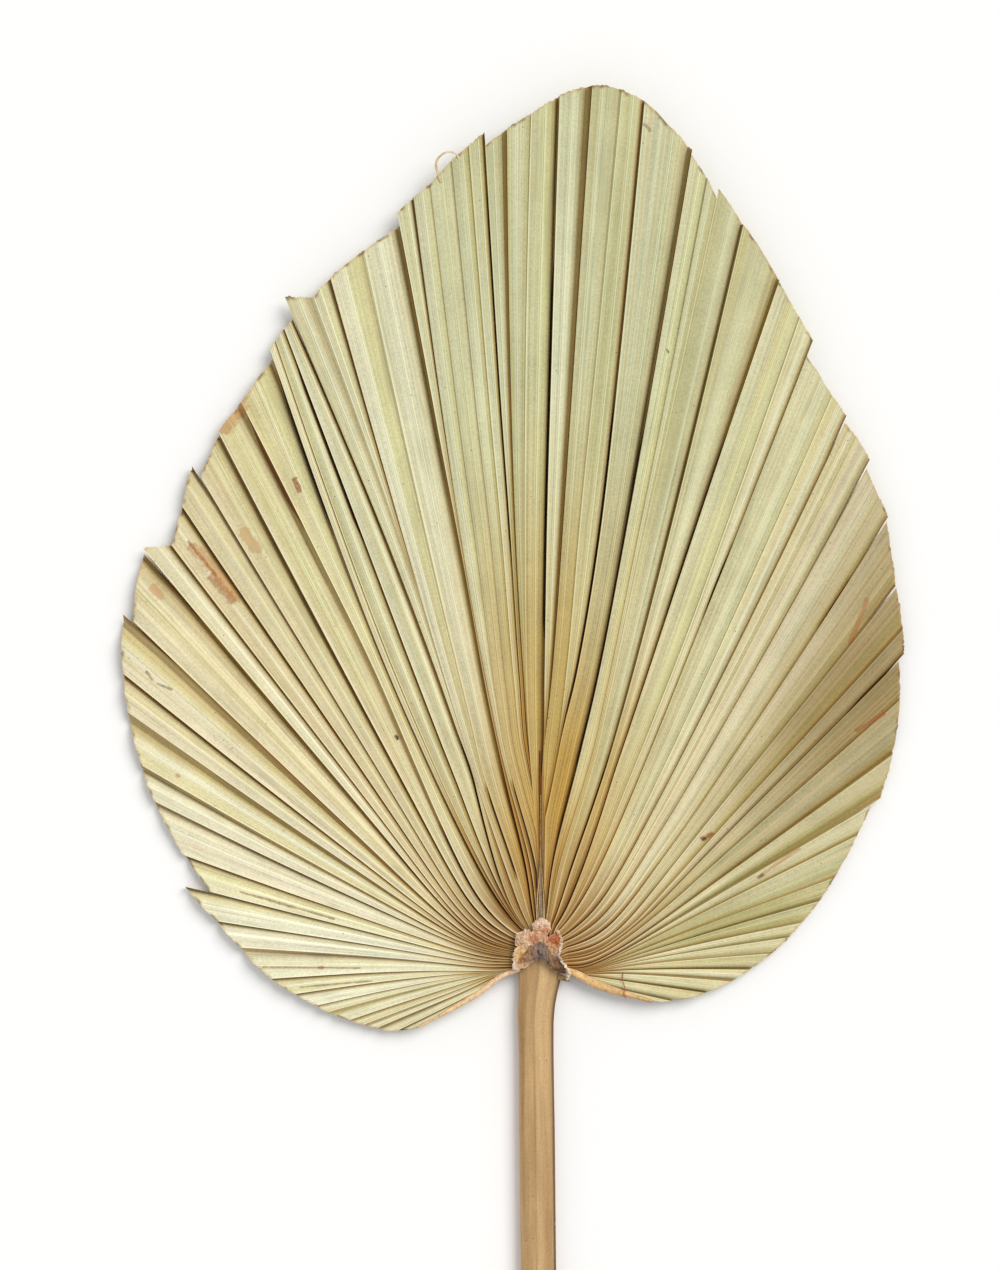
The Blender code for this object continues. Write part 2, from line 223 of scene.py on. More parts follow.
def along_ribs(bearings, beyond, shares):
    """Points at a bearing for each (column, row), and at each row's share of the rib there."""
    grid = np.arange(CUTS[0][0], CUTS[-1][0] + RIB_STEP / 2, RIB_STEP)
    ribs = np.array([rib_points(b) for b in grid])
    start, turn, end = (ribs[:, k] for k in range(3))
    run = (end - turn) / np.linalg.norm(end - turn, axis=1, keepdims=True)
    points = np.empty((*bearings.shape, 2))
    for row, s in enumerate(shares):
        line = (1 - s) ** 2 * start + 2 * (1 - s) * s * turn + s * s * end
        stretch = beyond * max(0.0, (s - EDGE_FROM) / (1 - EDGE_FROM)) ** 2
        for k in range(2):
            points[:, row, k] = np.interp(bearings[:, row], grid, line[:, k])
            points[:, row, k] += stretch * np.interp(bearings[:, row], grid, run[:, k])
    return points


def fold_lines(folds, shares):
    """The bearing of each fold at each share: straight ribs that turn and wander."""
    growth = np.exp((TURN_AT - np.asarray(shares)) / TURN_FADE)
    growth = TURN_MOST * np.tanh(growth / TURN_MOST)
    lines = []
    for bearing in folds:
        aside = [read_curve([(w[0], w[k]) for w in WANDER], bearing) for k in (1, 2, 3)]
        aside = [0.0, *aside, aside[-1] * WANDER_LEFT, 0.0]
        if not WANDER[0][0] < bearing < WANDER[-1][0]:
            aside = [0.0] * len(WANDER_SHARES)
        stray = np.array([read_curve(list(zip(WANDER_SHARES, aside)), s) for s in shares])
        line = bearing + stray
        outward = read_curve(BASE_TURN, bearing) * growth
        side = math.copysign(1, bearing)
        lines.append(side * np.maximum(side * line + outward, NARROWEST * abs(bearing)))
    return np.array(lines)


def middle_height(x, y):
    """The blade's own form: down from the seat to a low belt, then up to its edges."""
    reach = np.hypot(x, y)
    bearing = np.arctan2(x, y)
    down = smooth_step(reach, SEAT_HALF_LENGTH, LOW_FROM)
    height = SEAT_HEIGHT + (LOW_HEIGHT - SEAT_HEIGHT) * down
    rise = np.maximum(0.0, (reach - LOW_TO) / LIFT_REACH)
    height += (TIP_LIFT + (SIDE_LIFT - TIP_LIFT) * np.sin(bearing) ** 2) * rise**LIFT_POWER
    skirt = smooth_step(np.abs(bearing), *SKIRT_BEARINGS)
    height += skirt * SKIRT_SLOPE * np.maximum(0.0, reach - SKIRT_FROM)
    swell = SWELL * np.sin(SWELL_WAVES * bearing + SWELL_TURN)
    return height + swell * smooth_step(reach, LOW_TO, 2 * LOW_TO)


# How far the ribs turn outward below the middle of the blade: (bearing, degrees at TURN_AT).
BASE_TURN = (
    (-121, -5), (-114, -4), (-107, 0), (-100, 6), (-93, 9), (-84, 8), (-74, 8), (-65, 9), (-55, 13),
    (-44, 17), (-36, 15), (-30, 11), (-26, 5), (-22, 0), (-16, -3), (-10, -6), (-5, -8), (-2, -4), (0, 0),
    (2, -4), (5, -8), (10, -7), (16, -3), (22, 0), (26, 3), (30, 7), (35, 12), (40, 17), (48, 22), (58, 27),
    (66, 27), (74, 23), (82, 19), (90, 13), (98, 5), (105, 0), (113, -3),
)
TURN_AT = 0.25
TURN_FADE = 0.14
TURN_MOST = 1.15
NARROWEST = 0.12
# How single folds wander between none at the first and last of WANDER_SHARES: (bearing at the cut
# edge, degrees aside at the second to fourth). At the fifth a part of the last one is left.
WANDER_SHARES = (0.10, 0.40, 0.50, 0.65, 0.80, 1.00)
WANDER_LEFT = 0.6
WANDER = (
    (-31.5, 0, 0, 0), (-27.7, 0.6, 1.0, 1.4), (-24.0, -1.0, -1.2, -1.2), (-22.6, 0.2, 0.2, 0.1),
    (-21.3, 5.0, 4.5, 3.4), (-19.0, 2.9, 2.8, 2.4), (-17.2, 0.8, 0.8, 0.6), (-14.2, -0.6, 0.0, 0.1),
    (-10.9, 0.7, 0.8, 0.9), (-9.6, -0.4, -0.3, -0.3), (-8.2, -1.1, -0.6, 0.0), (-3.9, -1.1, -0.4, 0.1),
    (-2.4, -1.2, -0.9, -0.7), (-0.6, -1.6, -1.6, -1.2), (1.3, -0.1, -0.4, -0.5), (3.4, -0.8, -0.7, -0.6),
    (5.3, 0.2, -0.2, -0.6), (7.0, -0.8, 0.0, 0.4), (10.7, -0.4, -0.3, -0.3), (12.1, 0.5, 0.1, -0.2),
    (13.1, 0.1, -0.4, -0.6), (15.4, 0.3, 0.2, 0.1), (17.4, 0.0, -0.4, -0.7), (19.5, -1.8, -1.7, -1.3),
    (22.0, -0.8, -0.6, -0.2), (23.9, -0.4, -0.5, -0.5), (27.5, 0, 0, 0), (38.6, 0.8, 1.2, 0.8),
    (44.0, 0, 0, 0),
)
# Folds that hardly show, which makes wide leaflets of the pleats on both sides.
FAINT = (
    -19.0, -14.2, -8.2, -6.5, -5.2, -0.6, 5.3, 12.1, 13.1, 17.4, 22.0, 27.5, 31.3, 36.4, 40.7, 47.8, 54.4,
    69.4, 74.8, 82.9, 89.6,
)
FAINT_DEPTH = 0.30
FAINT_NEAR = 0.9         # degrees within which a fold counts as one of these
# The pleats' roots run on over the stalk's head, in to this share of the seat and up by this much.
ROOTS = 5
ROOT_REACH = 0.70
ROOT_RISE = 2.0 * MM
RIB_STEP = 0.5
EDGE_FROM = 0.86         # share of a rib from which it is stretched to the real cut edge
EDGE_RAGGED = 0.22 * MM
# Seeded ranges that the pleats' sections vary in.
DEPTH_RANGE = (0.8, 1.15)
VALLEY_STRAY = 0.02
VALLEY_LIMITS = (0.6, 0.97)
FLANK_RANGE = (0.06, 0.2)
LIP_RANGE = (0.04, 0.30)
MIDRIB_STRAY = (0.05, 0.10, 26)     # everywhere, and more within this bearing

# How the leaf looks round its fan: (bearing, depth of the pleats as a share of the solids',
# place of the valley, warmth from green 0 to tan 1, khaki share, strength of the orange midrib,
# darkness of the valleys near the joint).
REGIONS = (
    (-121, 0.50, 0.95, 0.40, 0.10, 0.1, 0.3), (-95, 0.55, 0.95, 0.25, 0.08, 0.1, 0.6),
    (-70, 0.68, 0.955, 0.55, 0.08, 0.0, 0.9), (-45, 0.75, 0.955, 0.85, 0.15, 0.0, 1.0),
    (-28, 0.80, 0.95, 0.40, 0.30, 0.1, 1.0), (-12, 0.80, 0.93, 0.08, 0.50, 0.1, 1.0),
    (2, 0.80, 0.93, 0.08, 0.62, 0.1, 0.9), (14, 0.75, 0.94, 0.10, 0.55, 0.1, 0.8),
    (24, 0.40, 0.95, 0.10, 0.10, 0.2, 0.8), (38, 0.34, 0.95, 0.60, 0.32, 0.4, 0.9),
    (50, 0.42, 0.95, 0.30, 0.65, 0.9, 1.0), (62, 0.45, 0.95, 0.15, 0.55, 1.0, 1.0),
    (80, 0.40, 0.95, 0.15, 0.55, 1.0, 0.9), (98, 0.50, 0.95, 0.25, 0.30, 0.7, 0.7),
    (113, 0.50, 0.95, 0.35, 0.30, 0.6, 0.4),
)

# Painted shadow in the gaps between pleats: (bearing of the fold, from one share of its rib to another,
# width, and how brown the painted shadow is inside).
GAP_SHADOWS = metres([3], (
    (-22.2, 0.76, 0.99, 2.2, 0.2), (-24.0, 0.80, 1.00, 1.6, 0.0), (-27.7, 0.84, 0.99, 2.8, 1.0),
    (1.3, 0.52, 0.90, 1.6, 0.0), (-3.9, 0.62, 0.98, 1.2, 0.2), (7.0, 0.25, 0.80, 1.4, 0.0),
    (10.7, 0.35, 0.80, 1.3, 0.0), (19.5, 0.62, 0.88, 1.1, 0.3), (23.9, 0.68, 0.80, 1.4, 0.0),
    (38.6, 0.84, 0.94, 0.9, 0.5), (-17.2, 0.30, 0.64, 1.1, 0.0), (-21.3, 0.16, 0.50, 1.2, 0.1),
    (-28.3, 0.12, 0.42, 1.1, 0.0), (-14.0, 0.16, 0.40, 1.2, 0.0), (-8.1, 0.10, 0.38, 1.2, 0.0),
    (-2.3, 0.05, 0.30, 1.2, 0.3), (-31.5, 0.08, 0.34, 1.0, 0.0), (3.4, 0.05, 0.34, 1.1, 0.0),
    (15.5, 0.15, 0.45, 1.0, 0.2), (50.5, 0.87, 1.00, 2.0, 0.5), (-50.5, 0.90, 1.00, 1.6, 0.7),
    (-44.3, 0.88, 1.00, 1.6, 0.6),
))

# Folds that have come apart at the cut edge: (bearing, from this share of the rib, gap there).
SPLITS = metres([2], (
    (-79.0, 0.93, 1.3), (-50.5, 0.94, 1.4), (-44.3, 0.93, 1.8), (-35.2, 0.95, 1.2), (-24.0, 0.97, 0.9),
    (29.7, 0.94, 0.9), (33.8, 0.90, 1.0), (38.6, 0.90, 0.9), (44.0, 0.92, 1.1), (50.5, 0.95, 1.0),
    (65.5, 0.90, 0.9),
))

# Stains, scratches and holes on the blade: (from x, y, to x, y, half width, colour, strength).
MARKS = metres([0, 1, 2, 3, 4], (
    (-141.3, 239, -135, 247, 4.6, (196, 142, 82), 0.85),
    (-155.3, 183.2, -137, 162, 3.0, (196, 148, 88), 0.85),
    (-147.6, 169.7, -138.6, 160, 2.4, (166, 106, 54), 0.85),
    (-158, 186, -146, 171, 0.9, (140, 76, 34), 0.80), (-133, 190, -128, 183, 2.8, (204, 160, 100), 0.70),
    (-174, 165, -171.0, 161.5, 2.2, (200, 144, 86), 0.75),
    (73.4, 52.4, 77.4, 54.2, 1.3, (140, 66, 28), 1.0), (73.6, 51.8, 74.6, 52.2, 0.9, (40, 22, 12), 1.0),
    (-135, 28.4, -92.7, 16.2, 0.6, (130, 96, 58), 0.80),
    (-124.7, -5.4, -81, -5.9, 0.5, (130, 92, 56), 0.75),
    (-108, -14.4, -75.6, -11.7, 0.5, (130, 92, 56), 0.75),
    (-99.5, -5.9, -98, -5.7, 0.9, (160, 84, 52), 0.80),
    (-176.9, 127.4, -174.6, 123.8, 0.7, (128, 112, 84), 0.80),
    (-172, 122, -166, 119.5, 0.6, (128, 112, 84), 0.80), (57.0, 272, 57.6, 271, 0.7, (60, 48, 26), 1.0),
    (-163.5, 80.8, -162.5, 80.4, 1.0, (190, 122, 64), 0.80),
    (-65.2, 98.4, -64.4, 97.2, 0.8, (40, 24, 12), 1.0), (-110.5, 214, -108.2, 209, 1.3, (146, 78, 38), 1.0),
    (139.5, 140.5, 147.4, 160, 1.2, (176, 116, 66), 0.85),
    (142.5, 101, 154.5, 108.5, 1.2, (162, 96, 52), 0.90),
    (99, 35.2, 116.5, 47.8, 0.8, (196, 140, 96), 0.80), (98.4, 34.8, 100, 36, 0.9, (96, 66, 30), 0.90),
    (-13, 378, -9.4, 381.6, 1.3, (118, 108, 82), 0.90),
    (-1.8, 384.6, 1.6, 387.4, 1.2, (112, 102, 76), 0.90), (46.5, 372.5, 49, 370, 1.0, (140, 126, 92), 0.80),
))

# The crest on the joint, as (bearing, reach) from its middle.
CREST_MIDDLE = (-0.8 * MM, 1.8 * MM)
CREST_OUTLINE = metres([1], (
    (-180, 2.6), (-150, 5.6), (-134, 11.5), (-124, 14.4), (-114, 12.4), (-98, 12), (-80, 10.4), (-62, 10),
    (-52, 11.4), (-44, 10.2), (-35, 11.8), (-26, 11.2), (-17, 9.6), (-8, 12.2), (4, 14.2), (14, 13.2),
    (25, 10.6), (33, 7.6), (38, 10.0), (44, 13.0), (56, 12), (70, 11.2), (88, 9.6), (104, 10), (116, 13),
    (126, 17.2), (134, 13.5), (142, 7), (160, 3), (180, 2.6),
))
TOP_LOBE = metres([1], (
    (-180, 3.0), (-120, 3.6), (-70, 4.2), (-40, 3.4), (0, 3.8), (40, 3.7), (80, 4.2), (130, 4.4),
    (180, 3.0),
))
LEFT_LOBE = metres([1], (
    (-180, 3.2), (-130, 4.2), (-80, 3.4), (-45, 4.0), (-10, 3.2), (30, 4.8), (65, 4.0), (110, 4.6),
    (180, 3.2),
))
RIGHT_LOBE = metres([1], (
    (-180, 4.2), (-120, 2.6), (-60, 2.8), (-20, 3.4), (2, 5.4), (20, 3.2), (60, 3.0), (110, 2.6),
    (180, 4.2),
))
CREST_TAN = (206, 170, 134)
CREST_RIM = (240, 224, 206)
# Tones of the crest: (x, y, reach, colour).
CREST_TONES = metres([0, 1, 2], (
    (0.5, 15, 3, (226, 196, 170)), (-1.8, 10.4, 3, (212, 168, 130)), (-3.2, 8.6, 1.8, (184, 114, 74)),
    (2.4, 11, 1.8, (204, 144, 108)), (-8.1, 8.6, 3, (216, 182, 154)), (-9.5, 1.4, 3.4, (222, 180, 122)),
    (-6.8, 4.4, 2.2, (230, 198, 154)), (6.9, 8, 2.8, (184, 104, 62)), (5.4, 3.6, 2, (208, 162, 118)),
    (9, -3.2, 3, (120, 92, 72)), (11, -7, 2.6, (92, 66, 46)), (-12.4, -6, 2.6, (228, 210, 194)),
    (-9, -5, 2.2, (212, 172, 126)),
))
# The grey fold that crosses the crest like a roof, as (x, y, z), and its half widths.
FOLD_PATH = metres([0, 1, 2], (
    (-9.6, -2.4, 10.9), (-7.2, -0.6, 11.2), (-5.0, 1.1, 11.4), (-3.2, 1.6, 11.5), (-1.4, 1.8, 11.6),
    (0.4, 2.6, 11.8), (2.2, 1.4, 11.6), (3.8, -0.4, 11.4), (5.6, -2.6, 11.2), (7.4, -4.2, 10.9),
    (9.4, -6.0, 10.6), (11.4, -7.7, 10.2),
))
FOLD_WIDTHS = metres([1], (
    (0, 0.3), (0.09, 1.8), (0.18, 3.1), (0.27, 3.3), (0.36, 3.1), (0.45, 3.7), (0.55, 3.7), (0.64, 3.6),
    (0.73, 3.2), (0.82, 2.5), (0.91, 1.5), (1.0, 0.3),
))
FOLD_TONES = (
    (196, 150, 106), (172, 134, 100), (156, 126, 104), (128, 112, 104), (138, 118, 102), (150, 116, 86),
    (122, 88, 62), (88, 58, 38),
)
WEB_PATH = metres([0, 1, 2], (
    (8.0, -9.4, 7.4), (10.4, -10.2, 7.4), (13.2, -11.4, 7.0),
))
# The thin, pale edge of the crest on its right.
FRILL_PATH = metres([0, 1, 2], (
    (7.4, 11.6, 10.4), (9.2, 8.0, 10.6), (9.4, 4.4, 10.8), (8.5, 0.4, 10.9), (10.2, -3.0, 10.8),
    (12.2, -5.8, 10.5), (13.2, -8.2, 10.0), (12.0, -10.6, 9.2),
))
FOLD_ROWS = 46
FRILL_ROWS = 60
FRILL_TONES = ((214, 176, 146), (238, 222, 206), (226, 204, 184))
WEB_ROWS = 16
WEB_TONES = ((158, 134, 82), (146, 118, 68))
# The crest's flaps: (name, middle, outline, height of the rim, rise to the middle, seed).
FLAPS = (
    ("crest_sheet", CREST_MIDDLE, CREST_OUTLINE, 9.5 * MM, 1.2 * MM, 5),
    ("crest_top", (0.5 * MM, 13.2 * MM), TOP_LOBE, 10.1 * MM, 1.2 * MM, 8),
    ("crest_left", (-7.6 * MM, 7.6 * MM), LEFT_LOBE, 9.9 * MM, 1.1 * MM, 12),
    ("crest_right", (7.4 * MM, 5.6 * MM), RIGHT_LOBE, 9.9 * MM, 0.9 * MM, 16),
)
FLAP_GRID = (121, 17)
RIBBON_COLUMNS = 9
FLAP_SHEET = 0.35 * MM
FLAP_CRUMPLES = metres([0, 1], ((0.42, 2.0), (0.2, 0.9)))     # (height, how far apart)

# The woody edges of the lowest lobes: (name, pleat, its edge, half width, colours outwards).
MARGINS = (
    ("margin_left", 0, 0, 1.3 * MM, ((250, 216, 178), (240, 204, 150))),
    ("margin_right", -1, -1, 1.9 * MM, ((240, 198, 138), (214, 176, 122))),
)

# The midrib's strands: (start, distance aside at the crest, end, colours from start to end).
COSTA_LINE = (0.55 * MM, -0.006)
STRANDS_JOIN = (14 * MM, 52 * MM)
STRAND_ROWS = 40
FIBRE_ROWS = 28
STRANDS = metres([0, 1, 2], (
    (13.5, -1.9, 50, ((246, 222, 180), (198, 160, 96))),
    (14.0, -1.0, 64, ((206, 180, 140), (168, 138, 92))),
    (14.5, -0.2, 92, ((214, 196, 164), (142, 114, 82), (150, 84, 40), (132, 84, 40))),
    (14.5, 0.6, 72, ((170, 146, 112), (168, 146, 112))), (14.0, 1.4, 60, ((248, 226, 184), (150, 122, 82))),
    (13.5, 2.2, 48, ((150, 118, 66), (120, 92, 52))),
))

# Loose fibres: (name, (x, y, height above the blade), half width, colours from start to end).
FIBRES = (
    ("edge_loop", metres([0, 1, 2], (
        (-44.2, 347, 0.4), (-46.3, 352, 0.9), (-46.4, 356, 1.3), (-44.0, 359, 1.6), (-41.0, 360.2, 1.6),
        (-37.8, 359.4, 1.2), (-36.2, 357, 0.5),
    )), 0.60 * MM, ((214, 194, 146), (236, 220, 178))),
    ("margin_hair", metres([0, 1, 2], (
        (37.2, -8.0, 0.9), (37.0, -11.0, 1.2), (38.0, -14.5, 1.6), (37.6, -17.5, 1.3), (38.6, -19.6, 1.0),
    )), 0.22 * MM, ((150, 92, 58), (190, 120, 90))),
)

# Colours, as they show in the photograph.
CREAM = (240, 231, 190)
STRAW = (226, 205, 160)
PEACH = (232, 205, 165)
PALE_GREEN = (214, 217, 172)
KHAKI = (184, 180, 126)
GOLD = (194, 154, 74)
BASE_BROWN = (162, 114, 46)
RIDGE_HIGHLIGHT_CREAM = (232, 214, 170)
PALE = (238, 236, 206)
OLIVE_PAINTED_SHADE = (162, 130, 52)
UMBER_VALLEY_SHADE = (104, 64, 18)
GAP_SHADOW_BROWN = (112, 66, 24)
CREASE_SHADE_WARM = (204, 168, 92)
TIP_GREEN = (210, 216, 182)
TAN_KHAKI = (140, 112, 66)
LIT_CREAM = (252, 252, 226)
TAN_LINE = (196, 158, 104)
YELLOWED = (238, 232, 182)
SMUDGED = (150, 146, 100)
RIB_ORANGE = (196, 130, 62)
GAP_SHADOW_BLACK = (38, 22, 4)
STAIN_RIM = (152, 96, 46)
SPECK = (96, 74, 40)
WORN_TAN = (206, 172, 118)
WORN_BROWN = (120, 88, 46)
STALK_TAN = (176, 138, 92)
STALK_STRAW = (200, 164, 114)
STALK_BAND = (212, 178, 128)
STALK_SEAM = (168, 126, 80)
STALK_OLIVE_SHADE = (158, 130, 88)
STALK_EDGE_SHADE = (92, 58, 28)
STALK_LEFT_HIGHLIGHT = (222, 172, 112)
GAP_SHADE = (30, 18, 8)
CUT_END = (206, 176, 128)
CUT_DOT = (138, 100, 58)
BROWN_DOT = (120, 82, 44)
PALE_DOT = (250, 234, 208)
CRUMPLED = (206, 168, 128)
FLOOR_WHITE = (253, 253, 253)
PALER_AND_HIGHLIGHT = (1.25, 1.28, 1.36, 1.0)     # how much lighter the pale lines beside the midribs are, and the painted highlight along the fold edges
# The darker tan part of the right side: (bearing, spread, share, reach).
RIGHT_DARKER_TAN = (47, 13, 0.95, 0.34)
# Painted shadow in the gap on the left between the stalk's head and the blade: from, to and half width.
JOINT_GAP_SHADOW = ((-11.4 * MM, -7.3 * MM), (-8.6 * MM, -7.0 * MM), 0.7 * MM)


def linear(colour):
    """A colour of the photograph as the linear values that Blender's sockets take."""
    c = np.asarray(colour, float) / 255
    return np.where(c <= 0.04045, c / 12.92, ((c + 0.055) / 1.055) ** 2.4)


def laid(tone, colour, share):
    """The tone with a colour of the photograph laid over it, as far as the share."""
    return tone + (linear(colour) - tone) * np.asarray(share)[..., None]


class Fan:
    """All pleats of the blade as arrays of (pleat, place across, row along the ribs)."""

    def __init__(self):
        rng = np.random.default_rng(LOOK_SEED)
        folds = fold_table()
        self.fold_bearings = np.array([f[0] for f in folds])
        self.pleats = len(folds) - 1
        self.shares = np.append(np.zeros(ROOTS), np.linspace(0, 1, ROWS))
        self.inward = np.append(np.linspace(ROOT_REACH, 1, ROOTS, endpoint=False), np.ones(ROWS))
        left = self.fold_bearings[:-1]
        right = self.fold_bearings[1:]
        middle = (left + right) / 2
        region = np.array([
            [read_curve([(r[0], r[k]) for r in REGIONS], b) for k in range(1, 7)] for b in middle
        ])
        depth, valley, self.warmth, self.khaki, self.orange, self.dark_base = region.T
        faint = np.array([np.abs(np.array(FAINT) - b).min() < FAINT_NEAR for b in right])
        self.strength = np.where(faint, FAINT_DEPTH, 1.0)
        self.depth = depth * self.strength * rng.uniform(*DEPTH_RANGE, self.pleats)
        valley = valley + rng.uniform(-VALLEY_STRAY, VALLEY_STRAY, self.pleats)
        self.valley = np.clip(valley, *VALLEY_LIMITS)
        open_flank = rng.uniform(0, 1, self.pleats) < OPEN_FLANKS
        self.valley = self.valley - open_flank * rng.uniform(*FLANK_RANGE, self.pleats)
        stray = MIDRIB_STRAY[0] + MIDRIB_STRAY[1] * (np.abs(middle) < MIDRIB_STRAY[2])
        self.midrib = self.valley * (0.5 + stray * rng.uniform(-1, 1, self.pleats))
        self.lip = rng.uniform(*LIP_RANGE, self.pleats + 1)
        self.chance = rng.uniform(0, 1, (self.pleats, 4))
        self.t = self.real_share(ACROSS)
        lines = fold_lines(self.fold_bearings, self.shares)
        bearings = lines[:-1, None] + (lines[1:] - lines[:-1])[:, None] * self.t[..., None]
        before = np.array([f[2] for f in folds[:-1]])[:, None]
        after = np.array([f[1] for f in folds[1:]])[:, None]
        ragged = rng.normal(0, EDGE_RAGGED, self.t.shape)
        ragged[:, (0, -1)] = 0
        beyond = before + (after - before) * self.t + ragged
        rows = len(self.shares)
        flat = along_ribs(bearings.reshape(-1, rows), beyond.ravel(), self.shares)
        seat = np.array(SEAT_CENTRE)
        flat = seat + (flat - seat) * self.inward[:, None]
        self.xy = flat.reshape(self.pleats, len(ACROSS), rows, 2)
        self.join_folds(folds)
        self.open_splits()
        self.width = np.linalg.norm(self.xy[:, -1] - self.xy[:, 0], axis=-1)
        self.z = self.heights()

    def real_share(self, across):
        """Where the drawn section's places lie on each pleat, whose midrib and valley vary."""
        return np.array([
            np.interp(across, (0, MIDRIB, VALLEY, 1), (0, m, v, 1))
            for m, v in zip(self.midrib, self.valley)
        ])

    def join_folds(self, folds):
        """Both sides of a fold that isn't split share its line."""
        for i in range(1, self.pleats):
            if folds[i][1] == folds[i][2]:
                self.xy[i, 0] = self.xy[i - 1, -1]

    def pleat_before(self, bearing):
        """The pleat whose right fold is closest to a bearing."""
        return np.abs(self.fold_bearings[1:-1] - bearing).argmin()

    def open_splits(self):
        """Draws the pleats before a split aside, so that the cut edge gapes there."""
        for bearing, start, gap in SPLITS:
            pleat = self.pleat_before(bearing)
            across = self.xy[pleat, -1] - self.xy[pleat, 0]
            across /= np.linalg.norm(across, axis=-1, keepdims=True)
            aside = gap * smooth_step(self.shares, start, 1.0)
            near = (self.t[pleat] ** 2)[:, None, None]
            self.xy[pleat] -= across * aside[:, None] * near

    def heights(self):
        x, y = self.xy[..., 0], self.xy[..., 1]
        fold_width = np.vstack([self.width[:1], self.width, self.width[-1:]])
        fold_width = (fold_width[:-1] + fold_width[1:]) / 2
        ridge = np.minimum(PLEAT_DEPTH_SHARE * fold_width, PLEAT_DEPTH_MOST) / 2
        pit = np.minimum(PLEAT_DEPTH_SHARE * self.width, PLEAT_DEPTH_MOST) * self.depth[:, None]
        fold_pit = (np.vstack([pit[:1], pit]) + np.vstack([pit, pit[-1:]])) / 2
        drop = fold_pit * self.lip[:, None]
        t = self.t[..., None]
        top = ridge[:-1, None] * (1 - t) + ridge[1:, None] * t
        sheet = sheet_at(x, y)
        section = self.section(pit[:, None], drop[:-1, None], drop[1:, None])
        z = middle_height(x, y) + top + section
        z = z + ROOT_RISE * (1 - self.inward) / (1 - ROOT_REACH)
        return np.maximum(z + sheet / 2, sheet)

    def section(self, pit, left_drop, right_drop):
        """Height across each pleat from its midrib's: a face, a rounded flank and a steep wall."""
        across = ACROSS[None, :, None]
        first = np.clip(across / MIDRIB, 0, 1)
        second = np.clip((across - MIDRIB) / (VALLEY - MIDRIB), 0, 1)
        third = np.clip((across - VALLEY) / (1 - VALLEY), 0, 1)
        face = -left_drop * (1 - first) ** 1.5 - FACE_SAG * pit * np.sin(np.pi * first)
        flank = -pit * second**FLANK_ROUND
        wall = -pit + (pit - right_drop) * third
        line = MIDRIB_LINE * np.exp(-(((across - MIDRIB) / 0.03) ** 2))
        return line + np.where(across <= MIDRIB, face, np.where(across <= VALLEY, flank, wall))

    def drift(self, rng):
        """A smooth random share for each pleat along its rib."""
        knots = np.linspace(0, 1, 6)
        picks = rng.uniform(0, 1, (self.pleats, len(knots)))
        picks = 0.5 * picks + 0.5 * rng.uniform(0, 1, (self.pleats, 1))
        return np.array([
            [read_curve(list(zip(knots, pick)), s) for s in self.shares] for pick in picks
        ])[:, None, :]

    def tones(self):
        """The blade's broad colours, with painted shade and painted highlights, laid over one another."""
        rng = np.random.default_rng(LOOK_SEED + 1)
        s = self.shares
        left = self.fold_bearings[:-1, None, None]
        across = ACROSS[:, None]
        chance = self.chance[:, :, None, None]
        yellowing, paling, reddening = (self.drift(rng) for _ in range(3))
        first = 1 - smooth_step(across, MIDRIB - 0.03, MIDRIB + 0.03)
        warm = self.warmth[:, None, None] + 0.5 * (reddening - 0.5)
        warm = np.clip(warm + 0.25 * first - 0.15 * (1 - first), 0, 1)
        straw = laid(linear(STRAW), PEACH, 0.7 * chance[:, 1])
        green = linear(PALE_GREEN)
        tone = green + (straw - green) * warm[..., None]
        tone = laid(tone, CREAM, 0.5 * chance[:, 2])
        khaki = np.clip(self.khaki[:, None, None] * (0.05 + 1.8 * yellowing), 0, 0.95)
        tone = laid(tone, KHAKI, khaki)
        tone = laid(tone, PALE, 0.55 * paling * (1 - khaki))
        middle = np.exp(-(left / 24) ** 2)
        tone = laid(tone, TIP_GREEN, 0.45 * middle**3 * smooth_step(s, 0.5, 0.85))
        golden = (1 - smooth_step(s, 0.18, 0.85)) * middle
        tone = laid(tone, GOLD, np.clip(golden * (0.35 + 1.2 * self.drift(rng)), 0, 1))
        lit = np.exp(-((left + 86) / 24) ** 2) + 0.55 * np.exp(-((left + 17) / 8) ** 2)
        tone = laid(tone, LIT_CREAM, 0.60 * lit * smooth_step(s, 0.2, 0.6))
        bearing, spread, share, reach = RIGHT_DARKER_TAN
        right_darker_tan = np.exp(-(((left - bearing) / spread) ** 2) - ((s - share) / reach) ** 2)
        tone = laid(tone, TAN_KHAKI, 0.95 * right_darker_tan * (0.6 + 0.4 * yellowing))
        # Painted shade: each flank darkens to olive towards its valley, where the next fold shades it.
        shade = smooth_step(across, 0.48, 1.02) ** 1.2 * self.strength[:, None, None] ** 0.5
        tone = laid(tone, OLIVE_PAINTED_SHADE, shade * (0.50 + 0.25 * chance[:, 2]))
        base = 1 - smooth_step(s, 0.04, 0.38 + 0.22 * smooth_step(left, 30, 55))
        base = base * (0.30 + 0.70 * self.dark_base[:, None, None])
        base = np.clip(base * (0.55 + 0.9 * self.drift(rng)), 0, 1)
        tone = laid(tone, BASE_BROWN, 0.74 * base)
        # Painted shade: near the joint each pleat's valley side darkens to umber, over the base's real
        # browning.
        wide = smooth_step(across, 0.25, 0.60) * base * (0.4 + 0.6 * chance[:, 1])
        tone = laid(tone, UMBER_VALLEY_SHADE, 0.58 * wide)
        # Painted highlight: near the joint each pleat's fold edge is lightened to cream.
        return laid(tone, RIDGE_HIGHLIGHT_CREAM, 0.55 * base * (1 - smooth_step(across, 0.10, 0.26)))

